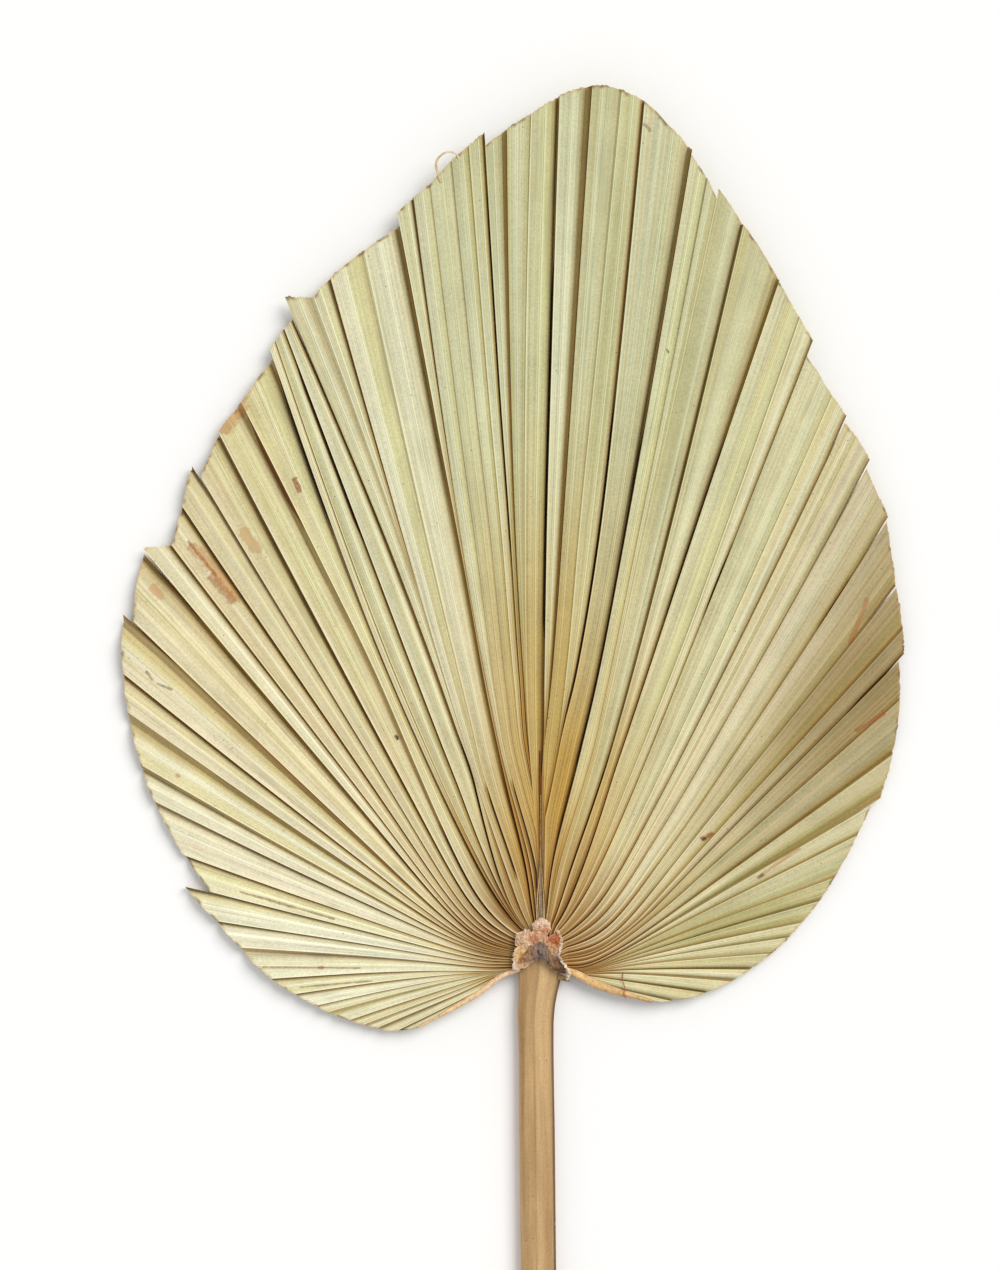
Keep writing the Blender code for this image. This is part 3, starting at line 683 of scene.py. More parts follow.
    def gap_shadow_widths(self):
        """The painted shadow in the gap at each pleat's right fold: its width in millimetres, and how brown
        it is.
        """
        thin = (0.15 + 0.40 * self.chance[:, 3][:, None]) * self.strength[:, None]
        near = 1 - smooth_step(self.shares, 0.08, 0.50)
        width = thin + 1.15 * self.dark_base[:, None] * near * (0.15 + self.chance[:, 2][:, None])
        brown = 0.55 - 0.35 * near * np.ones((self.pleats, len(self.shares)))
        folds = self.fold_bearings[1:-1]
        right = np.append(smooth_step(folds, 38, 50), 1)[:, None]
        brown = brown + (0.9 - brown) * right
        calm = smooth_step(folds, 18, 26) + 1 - smooth_step(folds, -75, -50)
        width = width * (1 - 0.45 * np.append(calm, 1)[:, None] * (1 - near))
        faint = (self.strength < 1)[:, None]
        width = np.where(faint, np.where(right > 0.5, 0.32, 0.0), width)
        for bearing, start, end, wide, inside in GAP_SHADOWS:
            pleat = self.pleat_before(bearing)
            opening = smooth_step(self.shares, start, start + 0.05)
            opening = opening * (1 - smooth_step(self.shares, end - 0.05, end))
            brown[pleat] += (inside - brown[pleat]) * (opening > 0)
            width[pleat] = np.maximum(width[pleat], opening * wide / MM)
        return np.minimum(width, 0.42 * self.width / MM), brown

    def height_at(self, x, y):
        """The highest point of the blade's face close to a place."""
        far = np.hypot(self.xy[..., 0] - x, self.xy[..., 1] - y)
        return self.z[far < max(0.9 * MM, far.min() * 1.2)].max()


def deselect():
    bpy.ops.object.select_all(action="DESELECT")


def make_active(piece):
    deselect()
    piece.select_set(True)
    bpy.context.view_layer.objects.active = piece


def apply_modifiers(piece):
    make_active(piece)
    for modifier in list(piece.modifiers):
        bpy.ops.object.modifier_apply(modifier=modifier.name)


def finish_piece(piece, material, node, angle=35):
    """Gives the piece its material and smooth faces, and its place in the part."""
    make_active(piece)
    bpy.ops.object.shade_smooth_by_angle(angle=math.radians(angle))
    piece.data.materials.clear()
    piece.data.materials.append(material)
    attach(piece, "root")
    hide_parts(node)
    return piece


def read_points(piece, kind="co"):
    values = np.empty(len(piece.data.vertices) * 3)
    piece.data.vertices.foreach_get(kind, values)
    return values.reshape(-1, 3)


def place_points(piece, points):
    piece.data.vertices.foreach_set("co", np.ascontiguousarray(points, dtype=float).ravel())
    piece.data.update()


def new_grid(name, columns, rows):
    """A flat grid of columns by rows points, with the column and the row of each of its points."""
    deselect()
    bpy.ops.mesh.primitive_grid_add(
        x_subdivisions=columns - 1, y_subdivisions=rows - 1, size=2, location=(0, 0, 0)
    )
    piece = bpy.context.object
    piece.name = name
    grid = read_points(piece)
    column = np.rint((grid[:, 0] + 1) / 2 * (columns - 1)).astype(int)
    row = np.rint((grid[:, 1] + 1) / 2 * (rows - 1)).astype(int)
    return piece, column, row


def corners_of(mesh):
    corners = np.empty(len(mesh.loops), int)
    mesh.loops.foreach_get("vertex_index", corners)
    return corners


def weld(piece, outwards=False):
    """Joins the points that lie together, and where asked turns the faces outwards."""
    make_active(piece)
    bpy.ops.object.mode_set(mode="EDIT")
    bpy.ops.mesh.select_mode(type="VERT")
    bpy.ops.mesh.select_all(action="SELECT")
    bpy.ops.mesh.remove_doubles(threshold=WELD_REACH)
    bpy.ops.mesh.delete_loose(use_verts=True, use_edges=True, use_faces=False)
    if outwards:
        bpy.ops.mesh.select_all(action="SELECT")
        bpy.ops.mesh.normals_make_consistent(inside=False)
    bpy.ops.object.mode_set(mode="OBJECT")


def write_uv(mesh, name, pairs):
    """Writes a UV map from a pair for each point."""
    layer = mesh.uv_layers.active or mesh.uv_layers.new(name=name)
    layer.name = name
    pairs = np.ascontiguousarray(pairs[corners_of(mesh)], dtype=float)
    layer.data.foreach_set("uv", pairs.ravel())


def delete_faces(piece, chosen):
    make_active(piece)
    bpy.ops.object.mode_set(mode="EDIT")
    bpy.ops.mesh.select_mode(type="FACE")
    bpy.ops.mesh.select_all(action="DESELECT")
    bpy.ops.object.mode_set(mode="OBJECT")
    piece.data.polygons.foreach_set("select", chosen)
    bpy.ops.object.mode_set(mode="EDIT")
    bpy.ops.mesh.delete(type="ONLY_FACE")
    bpy.ops.object.mode_set(mode="OBJECT")


def blade_sector(fan, number, material):
    """One of the blade's four pieces: a grid laid along its pleats, cut apart and given its sheet."""
    first, last = SECTORS[number], SECTORS[number + 1]
    places = len(ACROSS)
    piece, column, row = new_grid(f"blade_{number + 1}", (last - first) * places, len(fan.shares))
    pleat = first + column // places
    place = column % places
    height = fan.z[pleat, place, row]
    place_points(piece, np.concatenate([fan.xy[pleat, place, row], height[:, None]], axis=1))
    write_fan_layers(fan, piece.data, pleat, place, row)
    sides = pleat[corners_of(piece.data)].reshape(-1, 4)
    delete_faces(piece, sides.min(axis=1) != sides.max(axis=1))
    weld(piece)
    give_sheet(piece)
    return finish_piece(piece, material, "blade", angle=32)


def write_fan_layers(fan, mesh, pleat, place, row):
    """The UV map and the attributes that the blade's material reads."""
    corners = corners_of(mesh)
    p, a, r = pleat[corners], place[corners], row[corners]
    write_uv(mesh, "ribs", np.stack([pleat + ACROSS[place], fan.shares[row]], axis=1))
    width = fan.width[p, r] / MM
    t = fan.t[p, a]
    lie = np.stack([(t - fan.midrib[p]) * width, t * width, (1 - t) * width], axis=1)
    write_layer(mesh, "lie", "FLOAT_VECTOR", lie)
    tone = np.concatenate([fan.tone[p, a, r], fan.orange[p][:, None]], axis=1)
    write_layer(mesh, "tone", "FLOAT_COLOR", tone)
    edge = (1 - fan.shares[r]) * fan.length[p] / MM
    gap_shadow_and_edge = np.stack([fan.slits[p, r], edge, fan.brown[p, r]], axis=1)
    write_layer(mesh, "gap_shadow_and_edge", "FLOAT_VECTOR", gap_shadow_and_edge)


def write_layer(mesh, name, kind, values):
    layer = mesh.attributes.new(name, kind, "CORNER")
    layer.data.foreach_set("color" if kind == "FLOAT_COLOR" else "vector", values.ravel())


def give_sheet(piece):
    """Gives the pleated surface its thickness, straight down, so steep flanks don't cross."""
    count = len(piece.data.vertices)
    slope = np.clip(np.abs(read_points(piece, "normal")[:, 2]), 0.4, 1.0)
    thicken(piece, SHEET)
    points = read_points(piece)
    top = points[:count]
    x, y = top[:, 0], top[:, 1]
    on_head = ((x - SEAT_CENTRE[0]) / SEAT_HALF_WIDTH) ** 2
    on_head = on_head + ((y - SEAT_CENTRE[1]) / SEAT_HALF_LENGTH) ** 2 < 0.98
    sheet = np.where(on_head, SHEET_ON_HEAD, sheet_at(x, y))
    points[count:] = top
    points[count:, 2] = np.maximum(top[:, 2] - sheet / slope - costa_depth(x, y), 0.0)
    place_points(piece, points)


def thicken(piece, sheet):
    """Gives an open strip its sheet, downwards."""
    solidify = piece.modifiers.new("sheet", "SOLIDIFY")
    solidify.thickness = sheet
    solidify.offset = -1
    apply_modifiers(piece)


def crumple(points, scale, seed):
    """Creased noise from -1 to 1 at each point, with creases about scale apart."""
    return np.array([
        1 - 4 * abs(noise.noise(Vector((x / scale, y / scale, seed)))) for x, y in points[:, :2]
    ])


def stalk_half_width(y):
    wide = SEAT_HALF_WIDTH - HEAD_GAP
    long = SEAT_HALF_LENGTH - HEAD_GAP
    flared = STALK_HALF_WIDTH + FLARE * np.exp(np.minimum(0.0, y - FLARE_START) / FLARE_LENGTH)
    shaft = flared + (wide - flared) * smooth_step(y, FLARE_START, SEAT_CENTRE[1])
    head = wide * np.sqrt(np.maximum(0.0, 1 - ((y - SEAT_CENTRE[1]) / long) ** 2))
    return np.where(y >= SEAT_CENTRE[1], head, shaft)


def stalk_profile():
    """Once round the stalk's section, as shares of its half width and of its height."""
    turn = np.linspace(0, len(STALK_SECTION) - 1, STALK_ROUND)
    across = [read_curve(list(enumerate(p[0] for p in STALK_SECTION)), t) for t in turn]
    up = [read_curve(list(enumerate(p[1] for p in STALK_SECTION)), t) for t in turn]
    half = np.clip(np.stack([across, up], axis=1), 0, 1)
    other = half[-2::-1] * (-1, 1)
    return np.concatenate([half, other, half[:1]])


def build_stalk():
    """The stalk from its cut end to the head: a grid rolled up round it, with a closed cut end."""
    profile = stalk_profile()
    head = SEAT_HALF_LENGTH - HEAD_GAP
    shaft = np.linspace(STALK_END, SEAT_CENTRE[1], STALK_ROWS)
    turns = SEAT_CENTRE[1] + head * np.sin(np.linspace(0, math.radians(88), HEAD_ROWS + 1)[1:])
    y = np.concatenate([[STALK_END] * len(CUT_END_ROUND), shaft, turns, turns[-1:]])
    shrink = np.ones(len(y))
    shrink[:len(CUT_END_ROUND)] = CUT_END_ROUND
    shrink[-1] = 0.0
    piece, column, row = new_grid("stalk", len(profile), len(y))
    half = stalk_half_width(y)
    middle = STALK_SHIFT + STALK_LEAN * y
    middle = middle + (SEAT_CENTRE[0] - middle) * smooth_step(y, HEAD_START, SEAT_CENTRE[1])
    across, up = profile[column].T
    angle = 2 * math.pi * column / (len(profile) - 1)
    grain = sum(a * np.sin(n * angle + turn + run * y[row]) for a, n, turn, run in STALK_RIDGES)
    swell = 1 + 0.011 * np.sin(y[row] / (31 * MM)) + 0.008 * np.sin(y[row] / (12.7 * MM) + 2)
    inward = (1 - RIDGE_SHARE * (1 + grain)) * np.where(y[row] < HEAD_START, np.minimum(swell, 1.0), 1.0)
    x = middle[row] + across * half[row] * shrink[row] * inward
    z = STALK_HEIGHT * (0.45 + (up - 0.45) * shrink[row])
    z = z * (1 - HEAD_SLOPE * smooth_step(y[row], -2 * MM, 15 * MM))
    z = z - (up > 0.5) * RIDGE_HEIGHT * (1 + grain)
    place_points(piece, np.stack([x, y[row], np.maximum(z, 0.0)], axis=1))
    write_uv(piece.data, "fibres", np.stack([column / 2, y[row] / MM], axis=1))
    corners = corners_of(piece.data)
    lie = np.stack([across[corners], up[corners], 1.0 - shrink[row][corners]], axis=1)
    write_layer(piece.data, "lie", "FLOAT_VECTOR", lie)
    weld(piece, outwards=True)
    return finish_piece(piece, stalk_finish(), "stalk", angle=50)


def paint(piece, tones):
    """Writes a colour per point, given as colours of the photograph, to the piece's corners."""
    corners = corners_of(piece.data)
    values = np.concatenate([linear(tones), np.ones((len(tones), 1))], axis=1)
    write_layer(piece.data, "tone", "FLOAT_COLOR", values[corners])


def lay_ribbon(
    name, path, half_width, crown, tones, material, node, sheet=0.3 * MM, wrinkle=0.0, upright=False
):
    """A strip along a path of points, arched by crown across its width, from tone to tone, with painted
    shade towards its sides.

    Its width runs square to the path, or where it is upright, towards the stalk.
    """
    rows = len(path)
    columns = RIBBON_COLUMNS
    piece, column, row = new_grid(name, columns, rows)
    along = np.gradient(path[:, :2], axis=0)
    along /= np.linalg.norm(along, axis=1, keepdims=True)
    across = np.stack([along[:, 1], -along[:, 0]], axis=1)
    if upright:
        across[:] = (0, -1)
    u = column / (columns - 1) * 2 - 1
    points = path[row].copy()
    points[:, :2] += across[row] * (u * half_width[row])[:, None]
    points[:, 2] += crown * (1 - u * u)
    points[:, 2] += wrinkle * crumple(points, 1.7 * MM, 3.1)
    place_points(piece, points)
    stops = np.linspace(0, rows - 1, len(tones))
    colour = np.stack([np.interp(row, stops, channel) for channel in zip(*tones)], axis=1)
    # Painted shade: each strip is up to a tenth darker towards its sides.
    paint(piece, colour * (1 - 0.10 * np.abs(u)[:, None]))
    length = np.append(0, np.cumsum(np.linalg.norm(np.diff(path, axis=0), axis=1)))
    write_uv(piece.data, "fibres", np.stack([u * half_width[row], length[row]], axis=1) / MM)
    thicken(piece, sheet)
    return finish_piece(piece, material, node, angle=50)


def papery_flap(name, middle, outline, floor, rise, seed, material):
    """A ragged, crumpled flap round a middle, out to a reach for each bearing."""
    columns, rows = FLAP_GRID
    piece, column, row = new_grid(name, columns, rows)
    bearing = -180 + 360 * column / (columns - 1)
    share = row / (rows - 1)
    rim = np.array([read_curve(outline, -180 + 360 * i / (columns - 1)) for i in range(columns)])
    rng = np.random.default_rng(seed)
    ragged = 1 + 0.05 * rng.normal(size=columns)
    ragged[-1] = ragged[0]
    reach = (rim * ragged)[column] * share
    angle = np.radians(bearing)
    points = np.stack([
        middle[0] + reach * np.sin(angle), middle[1] + reach * np.cos(angle), np.zeros(len(reach))
    ], axis=1)
    curl = 0.25 * np.sin(7 * angle + seed) + 0.2 * np.sin(12 * angle)
    points[:, 2] = floor + rise * (1 - share**1.6) + 0.9 * MM * curl * share**2
    for height, apart in FLAP_CRUMPLES:
        points[:, 2] += height * crumple(points, apart, seed)
    place_points(piece, points)
    paint(piece, flap_tones(points, share))
    write_uv(piece.data, "fibres", points[:, :2] / MM)
    weld(piece)
    thicken(piece, FLAP_SHEET)
    return finish_piece(piece, material, "crest", angle=60)


def flap_tones(points, share):
    """The colours of the crest: each of its tones round its own place, and a pale rim."""
    weight = np.full(len(points), 0.05)
    colour = weight[:, None] * np.array(CREST_TAN, float)
    for x, y, reach, tone in CREST_TONES:
        near = np.exp(-((points[:, 0] - x) ** 2 + (points[:, 1] - y) ** 2) / (0.5 * reach**2))
        weight += near
        colour += near[:, None] * np.array(tone, float)
    colour /= weight[:, None]
    rim = smooth_step(share, 0.86, 0.97)[:, None] * 0.55
    return colour + (np.array(CREST_RIM, float) - colour) * rim


def build_crest(material):
    for flap in FLAPS:
        papery_flap(*flap, material)
    rng = np.random.default_rng(CREST_SEED)
    half_width = np.array([read_curve(FOLD_WIDTHS, s) for s in np.linspace(0, 1, FOLD_ROWS)])
    half_width = half_width * (1 + 0.15 * rng.normal(size=FOLD_ROWS))
    lay_ribbon(
        "crest_fold", curve_through(FOLD_PATH, FOLD_ROWS), half_width, 0.8 * MM, FOLD_TONES,
        material, "crest", wrinkle=0.75 * MM, upright=True,
    )
    path = curve_through(FRILL_PATH, FRILL_ROWS)
    path[:, 0] += 0.35 * MM * np.sin(np.arange(FRILL_ROWS) * 0.9)
    path[:, 0] += 0.12 * MM * rng.normal(size=FRILL_ROWS)
    half_width = 0.55 * MM * (1 + 0.35 * rng.normal(size=FRILL_ROWS)).clip(0.4, 1.6)
    lay_ribbon(
        "crest_frill", path, half_width, 0.3 * MM, FRILL_TONES, material, "crest",
        wrinkle=0.4 * MM,
    )
    half_width = np.linspace(1.7, 0.5, WEB_ROWS) * MM
    lay_ribbon(
        "crest_web", curve_through(WEB_PATH, WEB_ROWS), half_width, 0.3 * MM, WEB_TONES, material,
        "crest", wrinkle=0.1 * MM,
    )


def curve_through(points, count):
    """Evenly spread points on a smooth curve through the given ones, as (x, y, z)."""
    axes = [list(enumerate(p[k] for p in points)) for k in range(3)]
    turns = np.linspace(0, len(points) - 1, count)
    return np.array([[read_curve(axis, t) for axis in axes] for t in turns])


def build_margins(fan, material):
    """The rounded, woody edges of the two lowest lobes."""
    for name, pleat, place, wide, tones in MARGINS:
        edge = fan.xy[pleat, place]
        other = fan.xy[pleat, -1 - place]
        inward = (other - edge) / np.linalg.norm(other - edge, axis=1, keepdims=True)
        middle = edge + inward * (wide - 0.05 * MM)
        height = fan.z[pleat, place] + 0.25 * MM
        path = np.concatenate([middle, height[:, None]], axis=1)[2:-1]
        shares = np.linspace(0.05, 1.15, len(path)).clip(0, 1)
        half_width = wide * (0.45 + 0.55 * np.sin(np.pi * shares) ** 0.5)
        lay_ribbon(name, path, half_width, 0.8 * MM, tones, material, "blade", sheet=0.5 * MM)


def build_strands(fan, material):
    """The grey, fibrous strands of the midrib, which run together above the crest."""
    rng = np.random.default_rng(LOOK_SEED)
    along = np.linspace(0, 1, STRAND_ROWS)
    for i, (start, spread, end_y, tones) in enumerate(STRANDS):
        y = start + (end_y - start) * along
        x = COSTA_LINE[0] + COSTA_LINE[1] * y + spread * (1 - smooth_step(y, *STRANDS_JOIN))
        x = x + 0.12 * MM * np.sin(y / (5 * MM) + i * 2.1)
        top = np.array([fan.height_at(a, b) for a, b in zip(x, y)])
        top = np.convolve(np.pad(top, 3, mode="edge"), np.ones(7) / 7, mode="valid")
        lift = (0.7 + 0.15 * rng.uniform(-1, 1)) * MM * (1 - 0.6 * along)
        path = np.stack([x, y, top + lift], axis=1)
        lay_ribbon(
            f"midrib_strand_{i + 1}", path, (0.28 - 0.15 * along**0.7) * MM, 0.35 * MM, tones,
            material, "blade", sheet=0.4 * MM,
        )


def build_fibres(fan, material):
    """A peeled loop at the cut edge, and a hair on the right margin."""
    for name, points, thick, tones in FIBRES:
        path = curve_through(points, FIBRE_ROWS)
        path[:, 2] += fan.height_at(*points[0][:2])
        half_width = thick * np.linspace(1.0, 0.6, FIBRE_ROWS)
        lay_ribbon(name, path, half_width, 0.12 * MM, tones, material, "blade", sheet=0.15 * MM)


class Finish:
    """A material, the colour laid on it so far, and short ways to add and join its nodes."""

    def __init__(self, name, roughness, specular=0.35):
        self.material = bpy.data.materials.new(name)
        self.material.use_nodes = True
        self.tree = self.material.node_tree
        self.shader = self.tree.nodes["Principled BSDF"]
        self.shader.inputs["Roughness"].default_value = roughness
        self.shader.inputs["Specular IOR Level"].default_value = specular

    def start(self, tone):
        """Begins with a tone and returns the place on the object."""
        self.tint = tone
        return self.add("ShaderNodeTexCoord").outputs["Object"]

    def add(self, kind, sockets=None, **settings):
        """A node with its settings, and with values or outputs for its sockets."""
        node = self.tree.nodes.new(kind)
        for name, value in settings.items():
            setattr(node, name, value)
        for name, value in (sockets or {}).items():
            self.feed(value, node.inputs[name])
        return node

    def feed(self, value, socket):
        """Joins an output to a socket, or sets the socket where value is a number or a colour."""
        if isinstance(value, bpy.types.NodeSocket):
            self.tree.links.new(value, socket)
        else:
            socket.default_value = value

    def uv_map(self, name):
        return self.add("ShaderNodeUVMap", uv_map=name).outputs[0]

    def attribute(self, name, output="Color"):
        return self.add("ShaderNodeAttribute", attribute_name=name).outputs[output]

    def split(self, vector):
        return self.add("ShaderNodeSeparateXYZ", {0: vector}).outputs

    def math(self, operation, *values, clamp=False):
        sockets = dict(enumerate(values))
        return self.add("ShaderNodeMath", sockets, operation=operation, use_clamp=clamp).outputs[0]

    def times(self, a, b):
        return self.math("MULTIPLY", a, b)

    def vector(self, operation, *values, output="Vector", **named):
        sockets = {**dict(enumerate(values)), **named}
        return self.add("ShaderNodeVectorMath", sockets, operation=operation).outputs[output]

    def step(self, value, start, end, low=0.0, high=1.0):
        """A smooth step of the value, from low at start to high at end."""
        sockets = {"Value": value, "From Min": start, "From Max": end, "To Min": low, "To Max": high}
        node = self.add("ShaderNodeMapRange", sockets, interpolation_type="SMOOTHSTEP")
        return node.outputs["Result"]

    def fall(self, value, start, end):
        return self.step(value, start, end, 1.0, 0.0)

    def band(self, value, start, full, fading, end):
        """1 from full to fading, and 0 before start and after end."""
        return self.times(self.step(value, start, full), self.fall(value, fading, end))

    def noise(self, where, scale, detail=2.0, roughness=0.5):
        sockets = {"Vector": where, "Scale": scale, "Detail": detail, "Roughness": roughness}
        return self.add("ShaderNodeTexNoise", sockets).outputs["Fac"]

    def streaks(self, where, across, along, detail=2.0, roughness=0.5):
        """Noise drawn out on a UV map, with one scale across it and one along it."""
        drawn = self.vector("MULTIPLY", where, (across, along, 1.0))
        return self.noise(drawn, 1.0, detail, roughness)

    def stroke(self, where, start, end, half_width, ragged):
        """1 on the straight line from start to end, faded out at about half_width from it."""
        run = (end[0] - start[0], end[1] - start[1], 0.0)
        offset = self.vector("SUBTRACT", where, (*start, 0.0))
        dot = self.vector("DOT_PRODUCT", offset, run, output="Value")
        share = self.math("DIVIDE", dot, run[0] ** 2 + run[1] ** 2, clamp=True)
        aside = self.vector("SUBTRACT", offset, self.vector("SCALE", run, Scale=share))
        far = self.vector("LENGTH", self.vector("MULTIPLY", aside, (1, 1, 0)), output="Value")
        edge = self.math("MULTIPLY_ADD", ragged, half_width * 2.8, far)
        return self.fall(edge, half_width * 1.7, half_width * 2.5)

    def blend(self, share, a, b, how="MIX"):
        node = self.add("ShaderNodeMix", {0: share, 6: a, 7: b}, data_type="RGBA", blend_type=how)
        return node.outputs[2]

    def lay(self, share, tone, strength=1.0, how="MIX"):
        """Lays a tone over the colour so far, as far as the share times the strength."""
        if strength != 1.0:
            share = self.times(share, strength)
        tone = tone if isinstance(tone, bpy.types.NodeSocket) else rgba(tone)
        self.tint = self.blend(share, self.tint, tone, how)

    def shade(self, light, *parts):
        """Darkens and lightens by each value's distance from one half times its weight."""
        for value, weight in parts:
            light = self.math("MULTIPLY_ADD", self.math("SUBTRACT", value, 0.5), weight, light)
        grey = self.add("ShaderNodeCombineColor", {k: light for k in range(3)}).outputs[0]
        self.tint = self.blend(1.0, self.tint, grey, "MULTIPLY")

    def dots(self, where, scale, few, tone, strength, reach=(0.06, 0.16)):
        """Scatters dots of a tone: one in a few of the cells of a Voronoi pattern."""
        cells = self.add("ShaderNodeTexVoronoi", {"Vector": where, "Scale": scale}).outputs
        chosen = self.step(self.split(cells["Color"])[0], 1 - few, 1 - few + 0.02)
        self.lay(self.times(self.fall(cells["Distance"], *reach), chosen), tone, strength)

    def finished(self, height, depth):
        """Joins the colour and the relief to the shader, and returns the material."""
        bump = self.add("ShaderNodeBump", {"Strength": 1.0, "Distance": depth, "Height": height})
        self.feed(bump.outputs[0], self.shader.inputs["Normal"])
        self.feed(self.tint, self.shader.inputs["Base Color"])
        return self.material


def rgba(colour):
    return (*linear(colour), 1.0)


def blade_finish():
    """Dry palm: fine veins, mottling, specks, pale midrib lines, browned edges, painted highlights on the
    fold edges and painted shade in the creases and gaps.
    """
    dry = Finish("dry_palm", 0.65, specular=0.2)
    tone = dry.attribute("tone")
    place = dry.start(tone)
    uv = dry.uv_map("ribs")
    from_midrib, from_left, from_right = dry.split(dry.attribute("lie", "Vector"))
    slit, from_edge, brown = dry.split(dry.attribute("gap_shadow_and_edge", "Vector"))

    veins = dry.streaks(uv, 30.0, 2.2, 3.0, 0.6)
    lines = dry.streaks(uv, 13.0, 1.2, 3.0, 0.6)
    stripes = dry.streaks(uv, 5.0, 0.9)
    smudges = dry.streaks(uv, 2.6, 7.0, 4.0, 0.6)
    mottle = dry.noise(place, 900.0, 3.0, 0.65)
    patches = dry.noise(place, 55.0, 3.0)
    dry.shade(0.96, (veins, 0.95), (lines, 0.70), (mottle, 0.60), (stripes, 0.55), (patches, 0.30))
    dry.lay(dry.step(lines, 0.54, 0.64), TAN_LINE, 0.38)
    dry.lay(dry.step(dry.streaks(uv, 1.6, 0.30, 3.0), 0.42, 0.66), YELLOWED, 0.55, "MULTIPLY")
    dry.lay(dry.times(dry.step(smudges, 0.56, 0.70), dry.step(mottle, 0.35, 0.65, 0.1, 0.45)), SMUDGED)

    # Midribs, then painted highlights, painted shade and painted shadow at the folds and in the gaps
    # between pleats, by how far away they are in millimetres.
    side = dry.math("ABSOLUTE", from_midrib)
    paler_and_highlight = dry.blend(1.0, tone, PALER_AND_HIGHLIGHT, "MULTIPLY")
    dry.lay(dry.band(side, 0.16, 0.30, 0.55, 0.80), paler_and_highlight, 0.6)
    orange = dry.times(dry.attribute("tone", "Alpha"), 0.75)
    dry.lay(dry.times(dry.fall(side, 0.10, 0.26), orange), RIB_ORANGE)
    # Painted highlight: a pale line along each fold's edge.
    dry.lay(dry.times(dry.fall(from_left, 0.40, 0.75), dry.step(slit, 0.02, 0.25)), paler_and_highlight, 0.7)
    # Painted shade: a warm brown darkening beside each fold's crease.
    crease_shade = dry.times(dry.fall(from_right, 0.3, 3.2), dry.step(slit, 0.0, 0.4))
    dry.lay(crease_shade, CREASE_SHADE_WARM, 0.85, "MULTIPLY")
    # Painted shadow: the gap at each fold is dark brown to black inside.
    inside = dry.blend(brown, rgba(GAP_SHADOW_BLACK), rgba(GAP_SHADOW_BROWN))
    dry.lay(dry.fall(from_right, dry.times(slit, 0.6), slit), inside, dry.step(slit, 0.1, 0.8, 0.50, 0.97))

    ragged = dry.noise(place, 330.0, 5.0, 0.7)
    thinned = dry.step(dry.math("ADD", mottle, veins), 0.75, 1.20, 0.45, 1.0)
    for x0, y0, x1, y1, half_width, stain, strength in MARKS:
        share = dry.stroke(place, (x0, y0), (x1, y1), half_width, ragged)
        rim = dry.times(share, dry.math("SUBTRACT", 1.0, share))
        dry.lay(dry.times(share, thinned), stain, strength)
        dry.lay(rim, STAIN_RIM, 1.2 * strength)
    dry.dots(place, 260.0, 0.12, SPECK, 0.7, reach=(0.05, 0.11))

    worn = dry.noise(place, 160.0)
    worn_tone = dry.blend(dry.step(worn, 0.50, 0.66), rgba(WORN_TAN), rgba(WORN_BROWN))
    at_edge = dry.fall(dry.math("SUBTRACT", from_edge, worn), -0.4, 0.7)
    dry.lay(at_edge, worn_tone, dry.step(worn, 0.36, 0.62, 0.15, 0.75))
    return dry.finished(dry.math("ADD", dry.times(veins, 0.7), dry.times(mottle, 0.5)), 0.12 * MM)


def stalk_finish():
    """Tan, fibrous stalk: a pale middle band, painted shade along its right edge, a painted highlight along
    its left edge and a pale, dotted cut end.
    """
    wood = Finish("stalk_fibre", 0.55)
    uv = wood.uv_map("fibres")
    broad = wood.step(wood.streaks(uv, 0.30, 0.010), 0.35, 0.65)
    place = wood.start(wood.blend(broad, rgba(STALK_TAN), rgba(STALK_STRAW)))
    across, up, to_end = wood.split(wood.attribute("lie", "Vector"))
    fibre = wood.streaks(uv, 1.3, 0.035, 4.0, 0.65)
    grain = wood.noise(place, 1100.0, 3.0, 0.7)
    wood.lay(wood.band(across, -0.10, -0.02, 0.10, 0.55), STALK_BAND, 0.55)
    wood.lay(wood.band(across, -0.22, -0.09, -0.09, -0.03), STALK_SEAM, 0.28)
    # Painted shade: an olive band darkening to brown along the stalk's right side.
    wood.lay(wood.step(across, 0.62, 0.80), STALK_OLIVE_SHADE, 0.6)
    wood.lay(wood.times(wood.step(across, 0.80, 0.95), wood.step(up, 0.20, 0.45)), STALK_EDGE_SHADE, 0.9)
    # Painted highlight: the stalk's left side is lightened.
    wood.lay(wood.fall(across, -0.98, -0.80), STALK_LEFT_HIGHLIGHT, 0.5)
    wood.shade(0.98, (fibre, 0.65), (grain, 0.55), (wood.noise(place, 60.0), 0.25))
    # Painted shadow in the gap between the stalk's head and the blade.
    wood.lay(wood.stroke(place, *JOINT_GAP_SHADOW, grain), GAP_SHADE)
    cut = wood.step(to_end, 0.02, 0.10)
    wood.lay(cut, CUT_END)
    wood.dots(place, 700.0, 0.55, CUT_DOT, wood.times(cut, 0.7))
    wood.dots(place, 330.0, 0.16, BROWN_DOT, 0.75)
    wood.dots(place, 290.0, 0.06, PALE_DOT, 0.8)
    return wood.finished(wood.math("ADD", wood.times(fibre, 1.2), wood.times(grain, 0.5)), 0.15 * MM)


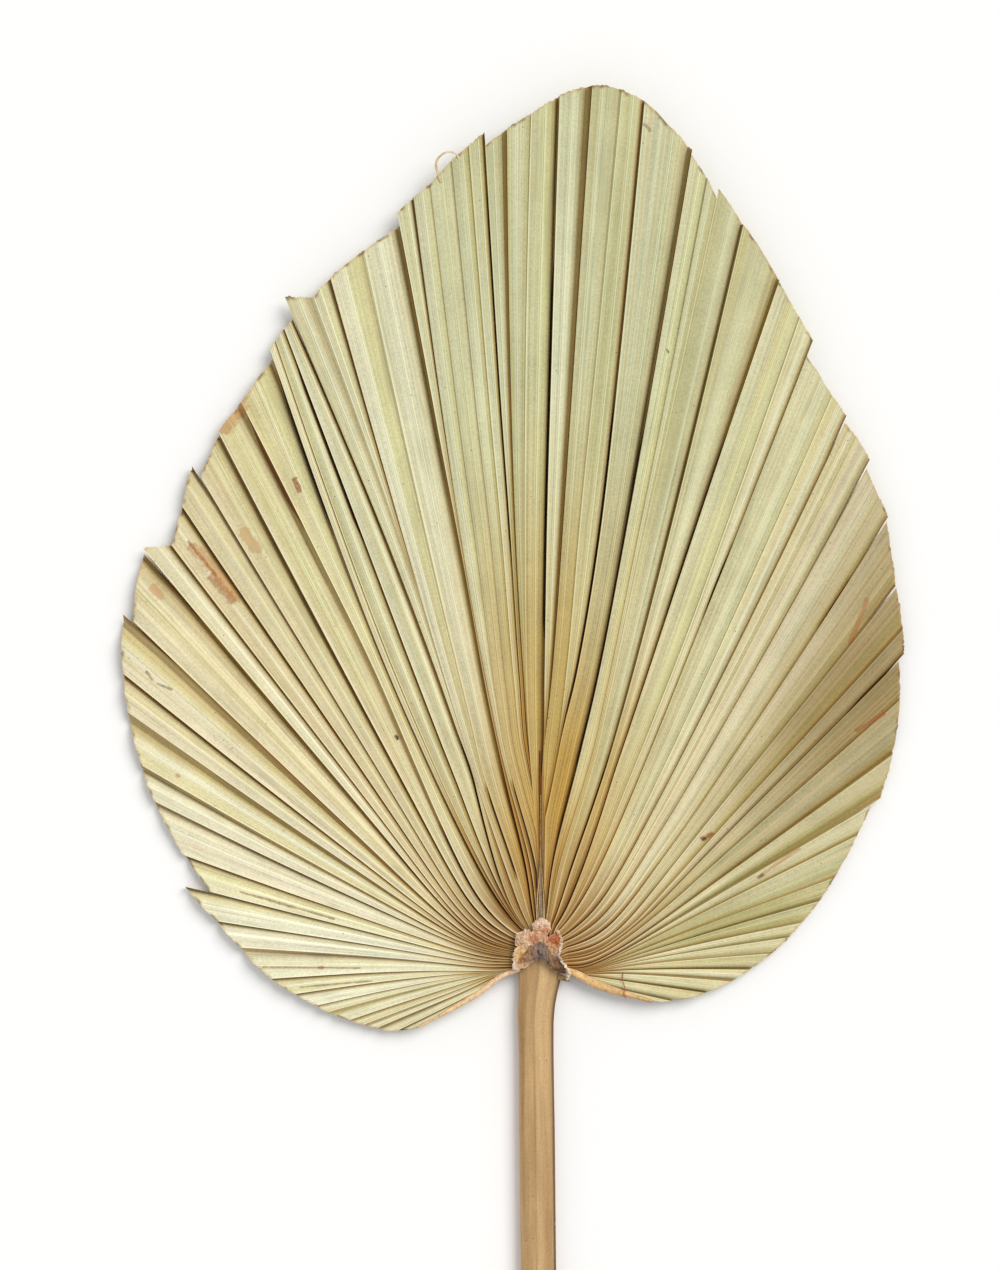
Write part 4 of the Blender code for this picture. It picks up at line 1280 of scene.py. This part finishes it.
def fibre_finish():
    """Dry, papery or stringy tissue in each piece's own tones."""
    dry = Finish("dry_fibre", 0.7, specular=0.25)
    place = dry.start(dry.attribute("tone"))
    strings = dry.streaks(dry.uv_map("fibres"), 2.2, 0.12, 3.0, 0.6)
    grain = dry.noise(place, 1300.0, 3.0, 0.7)
    dry.shade(1.05, (strings, 0.7), (grain, 0.9), (dry.noise(place, 420.0), 0.8))
    dry.lay(dry.step(dry.noise(place, 620.0, 4.0, 0.65), 0.50, 0.62), CRUMPLED, 0.40, "MULTIPLY")
    return dry.finished(dry.math("ADD", strings, grain), 0.2 * MM)


# The floor, the camera and the light.
FLOOR_SIZE = 40
FLOOR_DROP = 0.05 * MM
PIXEL = 0.45 * MM            # what one pixel of the photograph spans
FRAME_HEIGHT = 1270 * PIXEL
FRAME_MIDDLE = (-18 * MM, 144 * MM)
LEAF_TOP = 5 * MM            # the height that the frame is measured at
LENS = 100                   # long, as for a flat object
SENSOR = 36
KEY_AZIMUTH = 48.0           # clockwise from +Y, where the key light stands
KEY_TILT = 44.0              # from straight up
KEY_SPREAD = 38.0            # degrees that it spans, for soft shadows
KEY_ENERGY = 1.9
KEY_COLOUR = (1.0, 0.985, 0.95)
ROOM_STRENGTH = 0.60


def make_stage():
    deselect()
    bpy.ops.mesh.primitive_plane_add(size=FLOOR_SIZE, location=(0, 0, -FLOOR_DROP))
    floor = bpy.context.object
    floor.name = "floor"
    bpy.ops.object.transform_apply(location=True, rotation=True, scale=True)
    paper = Finish("floor_white", 0.9, specular=0.1)
    paper.feed(rgba(FLOOR_WHITE), paper.shader.inputs["Base Color"])
    floor.data.materials.append(paper.material)


def make_camera():
    """Straight above the leaf, with the photograph's frame."""
    camera = bpy.data.cameras.new("camera")
    camera.lens = LENS
    camera.sensor_width = SENSOR
    placed = bpy.data.objects.new("camera", camera)
    placed.location = (*FRAME_MIDDLE, FRAME_HEIGHT * LENS / SENSOR + LEAF_TOP)
    bpy.context.scene.collection.objects.link(placed)
    bpy.context.scene.camera = placed


def make_light():
    """A soft key from the picture's upper right, and a bright white room."""
    sun = bpy.data.lights.new("key", "SUN")
    sun.energy = KEY_ENERGY
    sun.angle = math.radians(KEY_SPREAD)
    sun.color = KEY_COLOUR
    placed = bpy.data.objects.new("key", sun)
    placed.rotation_euler = (math.radians(KEY_TILT), 0, math.radians(180 - KEY_AZIMUTH))
    bpy.context.scene.collection.objects.link(placed)
    world = bpy.data.worlds.new("room")
    bpy.context.scene.world = world
    world.use_nodes = True
    sky = world.node_tree.nodes["Background"]
    sky.inputs["Color"].default_value = (1.0, 1.0, 1.0, 1.0)
    sky.inputs["Strength"].default_value = ROOM_STRENGTH
    bpy.context.scene.view_settings.view_transform = "Standard"


def build_blade():
    fan = Fan()
    fan.tone = fan.tones()
    fan.slits, fan.brown = fan.gap_shadow_widths()
    fan.length = np.linalg.norm(fan.xy[:, 0, -1] - fan.xy[:, 0, 0], axis=-1)
    material = blade_finish()
    for number in range(len(SECTORS) - 1):
        blade_sector(fan, number, material)
    return fan


make_stage()
make_camera()
make_light()
fan = build_blade()
dry_fibre = fibre_finish()
build_stalk()
build_crest(dry_fibre)
build_margins(fan, dry_fibre)
build_strands(fan, dry_fibre)
build_fibres(fan, dry_fibre)
